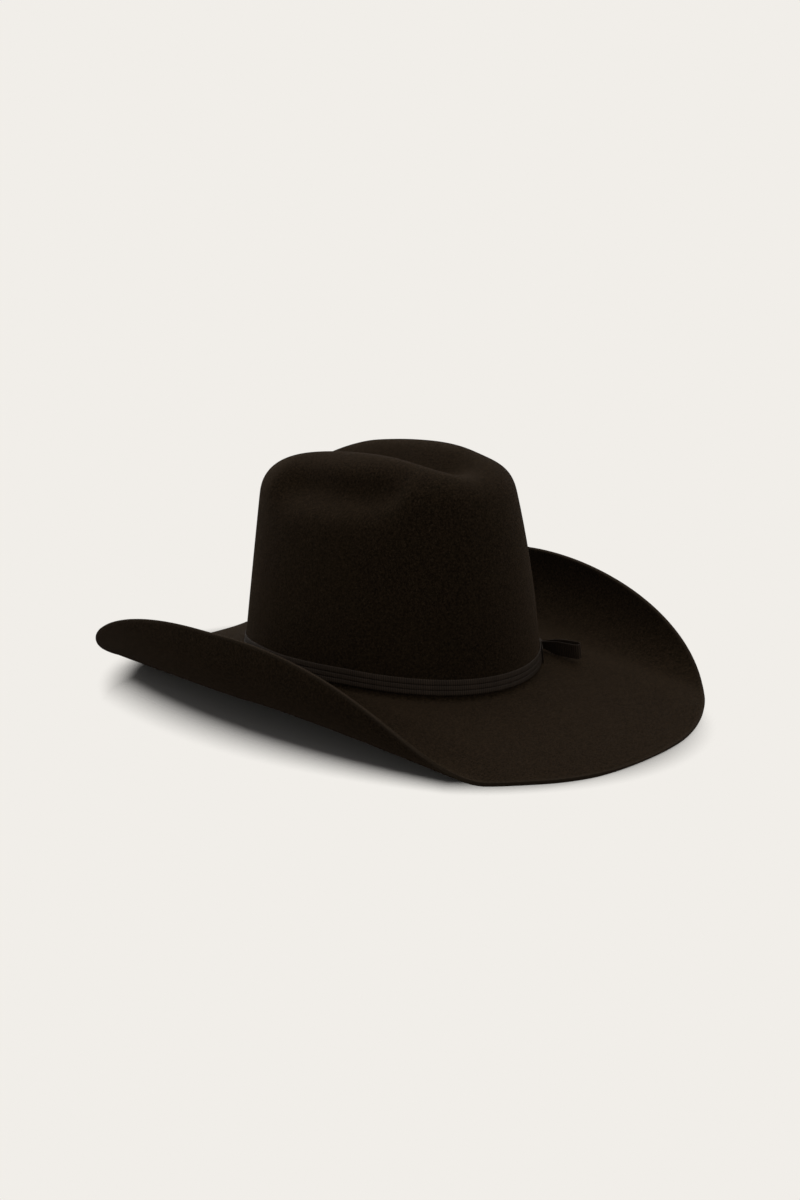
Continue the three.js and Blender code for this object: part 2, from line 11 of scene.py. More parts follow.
import bpy
import numpy as np
from mathutils import Matrix, Vector
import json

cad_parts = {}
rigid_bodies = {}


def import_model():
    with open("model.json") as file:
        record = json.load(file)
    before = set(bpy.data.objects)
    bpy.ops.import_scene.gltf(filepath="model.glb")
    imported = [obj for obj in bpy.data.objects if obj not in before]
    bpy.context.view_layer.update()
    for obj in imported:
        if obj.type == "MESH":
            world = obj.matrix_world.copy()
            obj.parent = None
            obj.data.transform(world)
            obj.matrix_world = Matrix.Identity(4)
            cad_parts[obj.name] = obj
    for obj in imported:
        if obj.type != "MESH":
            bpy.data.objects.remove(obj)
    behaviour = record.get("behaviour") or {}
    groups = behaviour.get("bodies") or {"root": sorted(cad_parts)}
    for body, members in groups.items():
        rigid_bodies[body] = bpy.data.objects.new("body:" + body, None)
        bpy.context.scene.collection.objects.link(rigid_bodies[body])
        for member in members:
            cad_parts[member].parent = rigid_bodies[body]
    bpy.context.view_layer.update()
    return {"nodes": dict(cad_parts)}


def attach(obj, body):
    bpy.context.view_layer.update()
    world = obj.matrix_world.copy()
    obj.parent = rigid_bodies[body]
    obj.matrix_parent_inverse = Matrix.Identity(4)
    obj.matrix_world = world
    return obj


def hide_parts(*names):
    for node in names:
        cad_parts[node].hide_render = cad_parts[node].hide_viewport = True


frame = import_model()
print("CAD nodes:", sorted(frame["nodes"]))

# %% [markdown]
# ## The camera
# The hat is seen from the wearer's right front, from a little above the brim. A camera is a
# place and three directions: right, up and back. The two angles give those directions, a
# small roll tips the view about its middle, and the distance sets the perspective.

# %% The camera
CAMERA_AZIMUTH = math.radians(-46.52)
CAMERA_ELEVATION = math.radians(14.25)
CAMERA_ROLL = math.radians(1.57)
CAMERA_DISTANCE = 1.1517
CAMERA_LENS_MM, SENSOR_WIDTH_MM = 53.86, 36
AIM_HEIGHT = 0.08254  # a point on the hat's axis, about halfway up
AIM_RIGHT, AIM_UP = 0.00789, -0.0196  # from that point to the middle of the view


def put_in_scene(name, data):
    """An object that holds a camera, a lamp or a mesh, linked to the scene."""
    item = bpy.data.objects.new(name, data)
    bpy.context.scene.collection.objects.link(item)
    return item


def camera_directions(azimuth, elevation):
    back = Vector((
        math.sin(azimuth) * math.cos(elevation),
        -math.cos(azimuth) * math.cos(elevation),
        math.sin(elevation),
    ))
    right = Vector((math.cos(azimuth), math.sin(azimuth), 0))
    return right, back.cross(right), back


right, up, back = camera_directions(CAMERA_AZIMUTH, CAMERA_ELEVATION)
aim = Vector((0, 0, AIM_HEIGHT)) + right * AIM_RIGHT + up * AIM_UP
turned_right = right * math.cos(CAMERA_ROLL) - up * math.sin(CAMERA_ROLL)
turned_up = up * math.cos(CAMERA_ROLL) + right * math.sin(CAMERA_ROLL)

camera_data = bpy.data.cameras.new("camera")
camera_data.lens = CAMERA_LENS_MM
camera_data.sensor_width = SENSOR_WIDTH_MM
camera_data.clip_start, camera_data.clip_end = 0.01, 100
camera = put_in_scene("camera", camera_data)
turn = Matrix((turned_right, turned_up, back)).transposed().to_4x4()
camera.matrix_world = Matrix.Translation(aim + back * CAMERA_DISTANCE) @ turn
bpy.context.scene.camera = camera
print("camera at", [round(v, 3) for v in camera.matrix_world.translation])

# %% [markdown]
# ## The shape of the felt
# A felt hat is one sheet, blocked over a form. It has no seams, so it is best described by
# one rule: an angle round the head, and a number that runs from the tip of the crown down
# the wall and out to the brim's edge. The rule repeats the sizes of the CAD model, in
# millimetres, and numpy works out whole rings of points at once.

# %% Sizes of the felt, in millimetres
MM = 0.001  # metres
FELT = 2.6  # thickness
HEAD_HALF_WIDTH, HEAD_FRONT, HEAD_REAR = 88, 104, 100
CREASE_RADIUS = 3  # of the corner between the crown and the brim
BRIM_SIDE, BRIM_FRONT, BRIM_REAR = 87.6, 102.3, 104.6
BRIM_SQUARENESS = 2.2
ROLL_START, ROLL_START_FRONT_LOSS, ROLL_START_REAR_LOSS = 23.3, 10.1, 76.4
ROLL_RADIUS, ROLL_RADIUS_FRONT_LOSS, ROLL_RADIUS_REAR_GAIN = 33.7, 20.3, 47.4
ROLL_ANGLE = math.radians(101.6)
END_DIP, FRONT_DIP_POWER, REAR_DIP_POWER = 31.2, 1.46, 2.3
SIDE_SAG, SIDE_SAG_START, SIDE_SAG_WIDTH = 6.8, 0.9, 30
REST_FLAT = 1.2  # how far the brim's two ends are flattened on the floor
CROWN_HEIGHT, SHOULDER_SHARE, TOP_ROUNDNESS = 133.5, 0.755, 2.67
SHOULDER_HEIGHT = SHOULDER_SHARE * CROWN_HEIGHT
SIDE_TAPER, FRONT_TAPER, FRONT_LEAN, REAR_TAPER = 0.295, 0.011, 0.225, 0.184
TOP_SQUARENESS, TOP_TILT = 2.25, 0.04
CREASE_DEPTH, CREASE_HALF_WIDTH = 18.1, 17.9
CREASE_FRONT, CREASE_REAR, CREASE_FRONT_FADE, CREASE_REAR_FADE = -43.4, 45, 27.4, 30
CREASE_START_SHARE, CREASE_FADE_SHARE = 0.6, 0.3
DENT_INWARDS, DENT_DOWN, DENT_HEIGHT, DENT_HALF_HEIGHT = 12.5, 4, 0.85 * CROWN_HEIGHT, 12
DENT_MIDDLE, DENT_HALF_LENGTH, DENT_ABRUPTNESS = -12, 46, 6

# %% Helpers for the rule


def smooth(value):
    t = np.clip(value, 0, 1)
    return t * t * (3 - 2 * t)


def stack(*parts):
    return np.stack(np.broadcast_arrays(*parts), -1).astype(float)


def mix(a, b, share):
    return a + (b - a) * share


def oval(angle, half_width, front, rear, exponent):
    """Where the ray at an angle meets an oval whose front and rear halves differ."""
    length = np.where(np.sin(angle) < 0, front, rear)
    across = np.abs(np.cos(angle) / half_width) ** exponent
    along = np.abs(np.sin(angle) / length) ** exponent
    radius = (across + along) ** (-1 / exponent)
    return stack(radius * np.cos(angle), radius * np.sin(angle))


def head(angle):
    return oval(angle, HEAD_HALF_WIDTH, HEAD_FRONT, HEAD_REAR, 2)


# %% The rule for the brim


def bend_brim(flat):
    """Bends a point of the flat brim: rolled up at the sides, dipping at the ends."""
    x, y = flat[..., 0], flat[..., 1]
    front = np.clip(-y / (HEAD_FRONT + BRIM_FRONT), 0, 1)
    rear = np.clip(y / (HEAD_REAR + BRIM_REAR), 0, 1)
    start = HEAD_HALF_WIDTH + ROLL_START
    start = start - ROLL_START_FRONT_LOSS * front**2 - ROLL_START_REAR_LOSS * rear**2
    radius = ROLL_RADIUS - ROLL_RADIUS_FRONT_LOSS * front**2 + ROLL_RADIUS_REAR_GAIN * rear**2
    side = np.abs(x)
    past = np.maximum(side - start, 0)
    turned = np.minimum(past / radius, ROLL_ANGLE)
    straight = np.maximum(past - radius * ROLL_ANGLE, 0)
    reach = np.minimum(side, start) + radius * np.sin(turned) + straight * math.cos(ROLL_ANGLE)
    rolled = radius * (1 - np.cos(turned)) + straight * math.sin(ROLL_ANGLE)
    low_line = smooth((side - SIDE_SAG_START * HEAD_HALF_WIDTH) / SIDE_SAG_WIDTH)
    sag = SIDE_SAG * low_line * (1 - front) * (1 - rear)
    dip = END_DIP * (front**FRONT_DIP_POWER + rear**REAR_DIP_POWER)
    return stack(np.sign(x) * reach, y, rolled - sag - dip)


def brim(angle, share):
    """The brim's top face: share 0 is at the head opening and share 1 at the edge."""
    rim = oval(angle, HEAD_HALF_WIDTH + BRIM_SIDE, HEAD_FRONT + BRIM_FRONT,
               HEAD_REAR + BRIM_REAR, BRIM_SQUARENESS)
    return bend_brim(mix(head(angle), rim, np.asarray(share)[..., None]))


# %% The rule for the crown and its creases


def press_creases(p):
    """Presses the centre crease and the two side dents into points of the crown."""
    x, y, z = p[..., 0], p[..., 1], p[..., 2]
    beyond = np.maximum((CREASE_FRONT - y) / CREASE_FRONT_FADE, (y - CREASE_REAR) / CREASE_REAR_FADE)
    beyond = np.maximum(beyond, 0)
    near_top = smooth((z / CROWN_HEIGHT - CREASE_START_SHARE) / CREASE_FADE_SHARE)
    crease = CREASE_DEPTH * near_top * np.exp(-((x / CREASE_HALF_WIDTH) ** 2) - beyond**2)
    up_share = ((z - DENT_HEIGHT) / DENT_HALF_HEIGHT) ** 2
    along = np.abs((y - DENT_MIDDLE) / DENT_HALF_LENGTH) ** DENT_ABRUPTNESS
    dent = np.exp(-up_share - along) * smooth(np.abs(x) / (HEAD_HALF_WIDTH / 2))
    return stack(x - np.sign(x) * DENT_INWARDS * dent, y, z - crease - DENT_DOWN * dent)


def crown(angle, height, scale, z):
    share = height / CROWN_HEIGHT
    front = HEAD_FRONT * (1 - FRONT_TAPER * share - FRONT_LEAN * share**2)
    plan = oval(angle, HEAD_HALF_WIDTH * (1 - SIDE_TAPER * share), front,
                HEAD_REAR * (1 - REAR_TAPER * share), 2 + (TOP_SQUARENESS - 2) * share)
    plan = plan * np.asarray(scale)[..., None]
    tilt = TOP_TILT * plan[..., 1] * share
    return press_creases(stack(plan[..., 0], plan[..., 1], z - tilt))


def wall(angle, above):
    """The crown's straight wall, measured up from the saddle-shaped line of the opening."""
    base = brim(angle, 0.0)[..., 2]
    height = above / (SHOULDER_HEIGHT - base) * SHOULDER_HEIGHT
    return crown(angle, height, 1.0, base + above)


def top(angle, share):
    turned = (1 - share) * math.pi / 2
    height = SHOULDER_HEIGHT + (CROWN_HEIGHT - SHOULDER_HEIGHT) * math.sin(turned) ** (2 / TOP_ROUNDNESS)
    scale = max(math.cos(turned), 0) ** (2 / TOP_ROUNDNESS)
    return crown(angle, height, scale, height)


# %% The whole felt, from tip to edge
EDGE = 4  # the brim's edge, in the numbering of felt()
NEAR_EDGE = EDGE - 0.002  # where the edge's normal is taken
CORNER_SHARE = CREASE_RADIUS / BRIM_SIDE


def felt(angle, s):
    """The felt's outer face, tip to edge: 0-1 top, 1-2 wall, 2-3 corner, 3-4 brim."""
    if s < 1:
        return top(angle, s)
    if s < 2:
        full = SHOULDER_HEIGHT - brim(angle, 0.0)[..., 2]
        return wall(angle, mix(full, CREASE_RADIUS, s - 1))
    if s < 3:
        upper = mix(wall(angle, CREASE_RADIUS), brim(angle, 0.0), s - 2)
        lower = mix(brim(angle, 0.0), brim(angle, CORNER_SHARE), s - 2)
        return mix(upper, lower, s - 2)
    return brim(angle, mix(CORNER_SHARE, 1.0, s - 3))


def normals(surface, angle, b, step=1e-3):
    """Unit normals, facing out of the hat, of a surface given by an angle and a number."""
    along_a = surface(angle + step, b) - surface(angle - step, b)
    along_b = surface(angle, b + step) - surface(angle, b - step)
    n = np.cross(along_b, along_a)
    return n / np.linalg.norm(n, axis=-1, keepdims=True)


def off_wall(angle, above, outwards):
    """A point off the crown's wall: positive is outwards."""
    n = -normals(wall, angle, above)
    return wall(angle, above) + n * np.asarray(outwards, float)[..., None]


def ring_angles(count):
    return np.arange(count) * 2 * math.pi / count


rim_under = felt(ring_angles(360), EDGE) - normals(felt, ring_angles(360), NEAR_EDGE) * FELT
OPENING_HEIGHT = -rim_under[..., 2].min() - REST_FLAT  # the head opening above the floor
print("head opening stands", round(OPENING_HEIGHT, 2), "mm above the floor")

# %% [markdown]
# ## From rows of points to a mesh
# Every soft piece of this hat is a strip, a hoop or a sheet, so one helper covers them: it
# takes rows of points of equal count and joins each row to the next. The rows may close on
# themselves, as in a hoop, or be closed at both ends. The same helper writes a UV map that
# counts real metres along and across the piece, so that a weave keeps its true scale.

# %% The skin helper


def mesh_from(name, points, faces, uv=None):
    """A mesh object from points in millimetres about the head opening, with outward faces."""
    points = (np.asarray(points, float) + (0, 0, OPENING_HEIGHT)) * MM
    mesh = bpy.data.meshes.new(name)
    mesh.from_pydata(points.tolist(), [], faces)
    mesh.update()
    mesh.calc_loop_triangles()
    tris = np.empty(len(mesh.loop_triangles) * 3, np.int32)
    mesh.loop_triangles.foreach_get("vertices", tris)
    a, b, c = (points[tris.reshape(-1, 3)[:, i]] for i in range(3))
    inside_out = np.einsum("ij,ij->i", a, np.cross(b, c)).sum() < 0
    if uv is not None:
        layer = mesh.uv_layers.new(name="weave")
        layer.data.foreach_set("uv", np.asarray(uv, np.float32).ravel())
    if inside_out:
        mesh.flip_normals()
    mesh.polygons.foreach_set("use_smooth", np.ones(len(mesh.polygons), bool))
    return put_in_scene(name, mesh)


def lengths(points):
    """Distance run along a line of points, from 0."""
    steps = np.linalg.norm(np.diff(points, axis=0), axis=-1)
    return np.concatenate([[0], np.cumsum(steps)])


def skin(name, rows, closed, poles=None):
    """Joins rows of points, each row a closed ring. The rows close on themselves too, or end
    in two poles, or in two flat ends."""
    rows = np.asarray(rows, float)
    count, size = rows.shape[:2]
    along = lengths(np.concatenate([rows, rows[:1]]).mean(1)) * MM
    across = lengths(np.concatenate([rows[count // 2], rows[count // 2][:1]])) * MM
    faces, uv = [], []
    for i in range(count if closed else count - 1):
        k = (i + 1) % count
        for j in range(size):
            m = (j + 1) % size
            faces.append((i * size + j, k * size + j, k * size + m, i * size + m))
            uv += [(along[i], across[j]), (along[i + 1], across[j]),
                   (along[i + 1], across[j + 1]), (along[i], across[j + 1])]
    points = rows.reshape(-1, 3)
    if not closed:
        last = (count - 1) * size
        ends = poles if poles is not None else (rows[0].mean(0), rows[-1].mean(0))
        points = np.concatenate([points, np.asarray(ends, float)])
        for j in range(size):
            m = (j + 1) % size
            faces.append((len(points) - 2, j, m))
            faces.append((len(points) - 1, last + m, last + j))
            uv += [(along[0], across[j])] * 3 + [(along[-1], across[j])] * 3
    return mesh_from(name, points, faces, uv)


# %% [markdown]
# ## The felt body
# The real body is fur felt about 2.6 mm thick: crown and brim in one, cut raw at the brim's
# edge. A subdivided CAD copy would round the creases away, so the rule is sampled again on
# much finer rings. The cut edge gets small rounded corners, because a sharp edge would
# catch no light, and the two ends of the brim lie flat where the hat rests on them.

# %% Build the felt body
FELT_STEPS = 384
FIRST_RING = 0.03  # the ring nearest the crown's tip, in the numbering of felt()
TOP_RINGS, WALL_RINGS, CORNER_RINGS, BRIM_RINGS = 44, 22, 6, 40
EDGE_ROUND = 0.55
UPPER_CORNER, LOWER_CORNER = (0, 30, 60, 90), (90, 120, 150, 180)  # degrees over the cut edge


def felt_rows():
    starts = (FIRST_RING, 1, 2, 3, EDGE)
    counts = (TOP_RINGS, WALL_RINGS, CORNER_RINGS, BRIM_RINGS)
    return np.concatenate([np.linspace(start, end, count, endpoint=False)
                           for start, end, count in zip(starts, starts[1:], counts)])


def felt_edge(angle):
    """The raw edge, from the top face to the underside, with rounded corners."""
    upper = felt(angle, EDGE)
    n = normals(felt, angle, NEAR_EDGE)
    round_the_rim = np.roll(upper, -1, 0) - np.roll(upper, 1, 0)
    out = np.cross(round_the_rim, n)
    out /= np.linalg.norm(out, axis=-1, keepdims=True)
    rows = []
    for middle, turns in ((EDGE_ROUND, UPPER_CORNER), (FELT - EDGE_ROUND, LOWER_CORNER)):
        for degrees in turns:
            t = math.radians(degrees)
            depth = middle - EDGE_ROUND * math.cos(t)
            rows.append(upper - n * depth + out * EDGE_ROUND * (math.sin(t) - 1))
    return rows


def build_felt():
    angle = ring_angles(FELT_STEPS)
    outer = [felt(angle, s) for s in felt_rows()]
    inner = [felt(angle, s) - normals(felt, angle, s) * FELT for s in felt_rows()]
    for ring in outer:  # where the brim rests, its top face stays a felt's thickness up
        ring[..., 2] = np.maximum(ring[..., 2], FELT - OPENING_HEIGHT)
    rows = np.array(outer + felt_edge(angle) + inner[::-1])
    rows[..., 2] = np.maximum(rows[..., 2], -OPENING_HEIGHT)
    tip = felt(np.zeros(1), 0)[0]
    return skin("felt_body_blocked", rows, closed=False, poles=(tip, tip - (0, 0, FELT)))


felt_body = build_felt()
print("felt body:", len(felt_body.data.polygons), "faces")

# %% [markdown]
# ## Materials from nodes
# Each finish is a small node tree on the Principled shader. Noise on Object coordinates is
# right for felt and leather, which have no direction of their own, and the UV map in metres
# is right for cloth, whose ribs must follow the ribbon. Short helpers keep the trees
# readable: they add a node, make noise, combine values, colour the shader by a mask, and
# add relief.

# %% Material helpers


def new_material(name, roughness, **shader_inputs):
    """A material, its node tree and its Principled shader."""
    material = bpy.data.materials.new(name)
    material.use_nodes = True
    shader = material.node_tree.nodes["Principled BSDF"]
    shader.inputs["Roughness"].default_value = roughness
    for socket, value in shader_inputs.items():
        shader.inputs[socket.replace("_", " ")].default_value = value
    return material, material.node_tree, shader


def add(tree, kind, links=None, **inputs):
    """Adds a node, sets its inputs by name and links others to sockets."""
    node = tree.nodes.new("ShaderNode" + kind)
    for name, value in inputs.items():
        node.inputs[name.replace("_", " ")].default_value = value
    for name, socket in (links or {}).items():
        tree.links.new(socket, node.inputs[name])
    return node


def noise(tree, vector, scale, detail=3.0, rough=0.6, stretch=None):
    """Noise between 0 and 1, with features about 1/scale metres across."""
    if stretch:
        mapping = add(tree, "Mapping", {"Vector": vector})
        mapping.inputs["Scale"].default_value = stretch
        vector = mapping.outputs["Vector"]
    texture = add(tree, "TexNoise", {"Vector": vector}, Scale=scale, Detail=detail, Roughness=rough)
    return texture.outputs["Fac"]


def spread(tree, value, low, high):
    """Stretches the part of a value between low and high over 0 to 1."""
    node = add(tree, "MapRange", {"Value": value})
    node.inputs["From Min"].default_value = low
    node.inputs["From Max"].default_value = high
    return node.outputs["Result"]


def maths(tree, operation, a, b):
    node = add(tree, "Math")
    node.operation = operation
    for socket, value in zip(node.inputs, (a, b)):
        if isinstance(value, (int, float)):
            socket.default_value = value
        else:
            tree.links.new(value, socket)
    return node.outputs["Value"]


def times(tree, a, b):
    return maths(tree, "MULTIPLY", a, b)


def plus(tree, a, b):
    return maths(tree, "ADD", a, b)


def blend_colours(tree, mask, a, b):
    """Mixes two colours, or the outputs of two nodes, by a mask."""
    node = tree.nodes.new("ShaderNodeMix")
    node.data_type = "RGBA"
    tree.links.new(mask, node.inputs["Factor"])
    for socket, value in ((node.inputs[6], a), (node.inputs[7], b)):
        if isinstance(value, tuple):
            socket.default_value = (*value, 1)
        else:
            tree.links.new(value, socket)
    return node.outputs[2]


def paint(tree, shader, mask, a, b):
    tree.links.new(blend_colours(tree, mask, a, b), shader.inputs["Base Color"])


def relief(tree, shader, height, distance, strength):
    """Bumps the shader's surface by a height, at most a distance in metres."""
    bump = add(tree, "Bump", {"Height": height}, Distance=distance, Strength=strength)
    tree.links.new(bump.outputs["Normal"], shader.inputs["Normal"])


def dress(piece, material, node):
    """Gives a piece its finish and its slot in the record, and puts it in a CAD node's place."""
    piece.data.materials.clear()
    piece.data.materials.append(material)
    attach(piece, "root")
    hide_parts(node)


# %% [markdown]
# ## Fur felt
# The felt is a very dark brown, almost black where it faces the eye and lighter where the
# eye skims it, because fine fur stands up from the surface and catches light at its tips.
# The sheen of the Principled shader does exactly that. Noise at four sizes gives the cloudy
# dye, the pepper-and-salt grain of the mixed fur, its pale flecks, and the tiny relief of
# the nap. The raw edge is painted paler, a painted highlight, so the mesh carries a mask for it.

# %% Felt material
DEEP_DYE, WORN_DYE = (0.0026, 0.0016, 0.0006), (0.0040, 0.0025, 0.0010)
GRAIN_COLOUR, FLECK_COLOUR = (0.0140, 0.0089, 0.0048), (0.040, 0.028, 0.018)
# The cut edge's paler colour is a painted highlight for the light the raw edge catches.
CUT_EDGE_HIGHLIGHT_COLOUR, FUR_TIP_TINT = (0.018, 0.0135, 0.0095), (0.81, 0.555, 0.37, 1)
FLECK_STRENGTH, CUT_EDGE_HIGHLIGHT_STRENGTH, GRAIN_RELIEF = 0.6, 0.6, 0.6


def felt_material():
    material, tree, shader = new_material(
        "brown_fur_felt", 0.95, Sheen_Weight=0.047, Sheen_Roughness=0.42,
        Sheen_Tint=FUR_TIP_TINT, Specular_IOR_Level=0.03)
    place = add(tree, "TexCoord").outputs["Object"]
    cloud = spread(tree, noise(tree, place, scale=22, detail=3), 0.35, 0.65)
    grain = spread(tree, noise(tree, place, scale=700, detail=5, rough=0.85), 0.42, 0.62)
    fleck = spread(tree, noise(tree, place, scale=1100, detail=3, rough=0.7), 0.58, 0.74)
    cut = add(tree, "Attribute")
    cut.attribute_name = "cut_edge"
    dyed = blend_colours(tree, cloud, DEEP_DYE, WORN_DYE)
    grainy = blend_colours(tree, grain, dyed, GRAIN_COLOUR)
    flecked = blend_colours(tree, times(tree, fleck, FLECK_STRENGTH), grainy, FLECK_COLOUR)
    # The cut edge is painted paler here: a painted highlight along the raw edge.
    paint(tree, shader, times(tree, cut.outputs["Fac"], CUT_EDGE_HIGHLIGHT_STRENGTH), flecked, CUT_EDGE_HIGHLIGHT_COLOUR)
    fur = noise(tree, place, scale=2600, detail=3, rough=0.7)
    nap = plus(tree, times(tree, grain, GRAIN_RELIEF), fur)
    relief(tree, shader, nap, distance=0.0003, strength=0.7)
    return material


def mark_cut_edge(piece, first_row, row_count, row_size):
    mask = np.zeros(len(piece.data.vertices), np.float32)
    mask[first_row * row_size : (first_row + row_count) * row_size] = 1
    piece.data.attributes.new("cut_edge", "FLOAT", "POINT").data.foreach_set("value", mask)


# The rows of the cut edge carry the mask of its painted highlight.
mark_cut_edge(felt_body, len(felt_rows()), len(UPPER_CORNER + LOWER_CORNER), FELT_STEPS)
dress(felt_body, felt_material(), "felt_body")
print("felt finished")

# %% [markdown]
# ## Hoops on the crown
# The ribbon, the sweatband and the lining all go round the crown at their own distance from
# the felt. Each is a section, drawn as height above the head opening and distance outwards,
# carried round the wall. A rounded oblong gives leather and tape soft edges, and a ripple
# can push the hoop in and out as it goes round, for cloth that is gathered.

# %% Hoop helpers
HOOP_STEPS = 300


def rounded_box(low, high, inner, outer, radius, steps=3):
    """Corners of an oblong section with rounded edges, in order round it."""
    points = []
    corners = ((low, inner, 180), (high, inner, 270), (high, outer, 0), (low, outer, 90))
    for above, out, start in corners:
        middle_above = above + (radius if above == low else -radius)
        middle_out = out + (radius if out == inner else -radius)
        for i in range(steps + 1):
            t = math.radians(start + 90 * i / steps)
            points.append((middle_above + radius * math.cos(t), middle_out + radius * math.sin(t)))
    return points


def fill_section(section, step):
    """Adds points to the long sides of a section, so that a wall can bend between them."""
    filled = []
    for a, b in zip(section, section[1:] + section[:1]):
        count = max(1, round(math.dist(a, b) / step))
        filled += [tuple(np.add(a, np.subtract(b, a) * i / count)) for i in range(count)]
    return filled


def hoop(name, section, steps=HOOP_STEPS, ripple=None):
    """Carries a section of points (height above the opening, distance outwards) round the wall."""
    angle = ring_angles(steps)
    columns = []
    for above, out in section:
        push = ripple(angle, above) if ripple else 0.0
        columns.append(off_wall(angle, above, out + push))
    return skin(name, np.stack(columns, 1), closed=True)


# %% [markdown]
# ## The ribbon round the crown
# The ribbon is grosgrain, a cloth with fine ribs across its length, folded so that three
# folds lie over each other like shingles. Real folds could be made by bending a flat strip,
# but only their faces and the dark lines between them show, so the section is drawn with
# its grooves. The ribs are too fine for geometry and live in the material, which reads the
# UV map in metres: the ribs count along the ribbon, whatever way it turns.

# %% Ribbon material
RIB_PITCH = 0.0014
RIB_SHARE, THREAD_SHARE = 0.65, 0.35  # of the weave's relief
DARK_RIB, LIGHT_RIB = (0.0050, 0.0034, 0.0022), (0.0290, 0.0198, 0.0138)


def ribbon_material(name, dark, light, roughness=0.62, pitch=RIB_PITCH):
    material, tree, shader = new_material(name, roughness, Specular_IOR_Level=0.08)
    place = add(tree, "TexCoord").outputs["UV"]
    axes = add(tree, "SeparateXYZ", {"Vector": place})
    wander = times(tree, noise(tree, place, scale=90, detail=2), 1.6)
    turns = plus(tree, times(tree, axes.outputs["X"], 2 * math.pi / pitch), wander)
    rib = spread(tree, maths(tree, "SINE", turns, 0.0), -1, 1)
    thread = noise(tree, place, scale=2400, detail=2, stretch=(0.35, 1, 1))
    uneven = spread(tree, noise(tree, place, scale=160, detail=3, stretch=(1, 0.2, 1)), 0.3, 0.7)
    woven = plus(tree, times(tree, rib, RIB_SHARE), times(tree, thread, THREAD_SHARE))
    shade = times(tree, woven, plus(tree, times(tree, uneven, 0.4), 0.7))
    paint(tree, shader, shade, dark, light)
    relief(tree, shader, woven, distance=0.00012, strength=0.8)
    return material


RIBBON_FINISH = ribbon_material("brown_grosgrain", DARK_RIB, LIGHT_RIB)

# %% Build the ribbon round the crown
BAND_HEIGHT, BAND_BACK, BAND_FACE = 9.5, 0.1, 0.85
FOLD_SHARES = (0.0, 0.31, 0.63, 1.0)  # edges of the folds, from the bottom of the ribbon
FOLD_STEP, GROOVE = 0.15, 0.35  # how far a fold's upper edge and the line above it lie back
FOLD_EDGE, FOLD_ROUND, BEVEL = 0.08, 0.2, 0.1


def band_section():
    points = [(CREASE_RADIUS + BEVEL, BAND_BACK)]
    for low, high in zip(FOLD_SHARES, FOLD_SHARES[1:]):
        bottom = CREASE_RADIUS + BAND_HEIGHT * low
        upper = CREASE_RADIUS + BAND_HEIGHT * high
        points += [(bottom + FOLD_EDGE, BAND_FACE - FOLD_ROUND), (bottom + 2 * FOLD_EDGE, BAND_FACE),
                   ((bottom + upper) / 2, BAND_FACE), (upper - FOLD_EDGE, BAND_FACE - FOLD_STEP)]
        if high < 1:
            points.append((upper, BAND_FACE - FOLD_STEP - GROOVE))
    points += [(upper, BAND_FACE - FOLD_STEP - BEVEL), (upper, BAND_BACK)]
    return points


hat_band = hoop("hat_band_grosgrain", fill_section(band_section(), step=0.8), steps=480)
dress(hat_band, RIBBON_FINISH, "hat_band")
print("ribbon round the crown:", len(hat_band.data.polygons), "faces")

# %% [markdown]
# ## The bow
# At the wearer's left front the ribbon's ends hide under a flat two-loop bow. Its front loop
# stands off the crown and points forwards, its rear loop lies along the ribbon, a short
# cross ribbon pinches the waist, and a flat tail lies behind. Each is one strip of ribbon:
# a middle line that says where it goes, a direction across it, and a width at each point.

# %% Ribbon strips
RIBBON_THICKNESS = 0.45
CURVE_STEPS = 24  # points between two given points of a smooth line, before they are evened


def bow_frame(angle, above, outwards, step=1e-3):
    """Origin and axes of a bow on the crown: x forwards along the ribbon, y out, z up."""
    at = np.array([angle])
    y = -normals(wall, at, above)[0]
    x = (wall(at - step, above) - wall(at + step, above))[0]
    x /= np.linalg.norm(x)
    return off_wall(at, above, outwards)[0], np.stack([x, y, np.cross(x, y)])


def smooth_line(points, count):
    """Points evenly along a smooth curve through a few points, each with any extra numbers."""
    points = np.asarray(points, float)
    padded = np.concatenate([2 * points[:1] - points[1:2], points, 2 * points[-1:] - points[-2:-1]])
    curve = []
    for i in range(len(points) - 1):
        a, b, c, d = padded[i : i + 4]
        for t in np.linspace(0, 1, CURVE_STEPS, endpoint=False):
            curve.append(0.5 * (2 * b + (c - a) * t + (2 * a - 5 * b + 4 * c - d) * t**2
                                + (3 * b - a - 3 * c + d) * t**3))
    curve = np.array(curve + [points[-1]])
    run = lengths(curve[:, :3])
    even = np.linspace(0, run[-1], count)
    return np.stack([np.interp(even, run, curve[:, k]) for k in range(points.shape[1])], 1)


def strip(name, line, across, widths, thickness=RIBBON_THICKNESS, closed=False, cup=0.0):
    """A ribbon along a line of points. Across gives the direction over its width, and cup
    bends its edges to one side."""
    line = np.asarray(line, float)
    across = np.broadcast_to(np.asarray(across, float), line.shape)
    if closed:
        forward = np.roll(line, -1, 0) - np.roll(line, 1, 0)
    else:
        forward = np.gradient(line, axis=0)
    forward /= np.linalg.norm(forward, axis=1, keepdims=True)
    flat = np.cross(forward, across)
    flat /= np.linalg.norm(flat, axis=1, keepdims=True)
    # The section counts half widths across the ribbon and thicknesses through it.
    section = fill_section(rounded_box(-1, 1, -0.5, 0.5, radius=0.18, steps=2), step=0.25)
    rows = []
    for point, side, face, width in zip(line, across, flat, np.broadcast_to(widths, len(line))):
        rows.append([point + side * (s * width / 2) + face * (f * thickness + cup * s * s)
                     for s, f in section])
    return skin(name, rows, closed=closed)


# %% Place and shape the bow
BOW_ANGLE = math.radians(-46)
BOW_ABOVE, BOW_OUT = 3.4, 3.2
RIBBON_WIDTH = 9.5
bow_origin, bow_axes = bow_frame(BOW_ANGLE, BOW_ABOVE, BOW_OUT)


def place_on_bow(points, origin=bow_origin, axes=bow_axes):
    return origin + np.asarray(points, float) @ axes


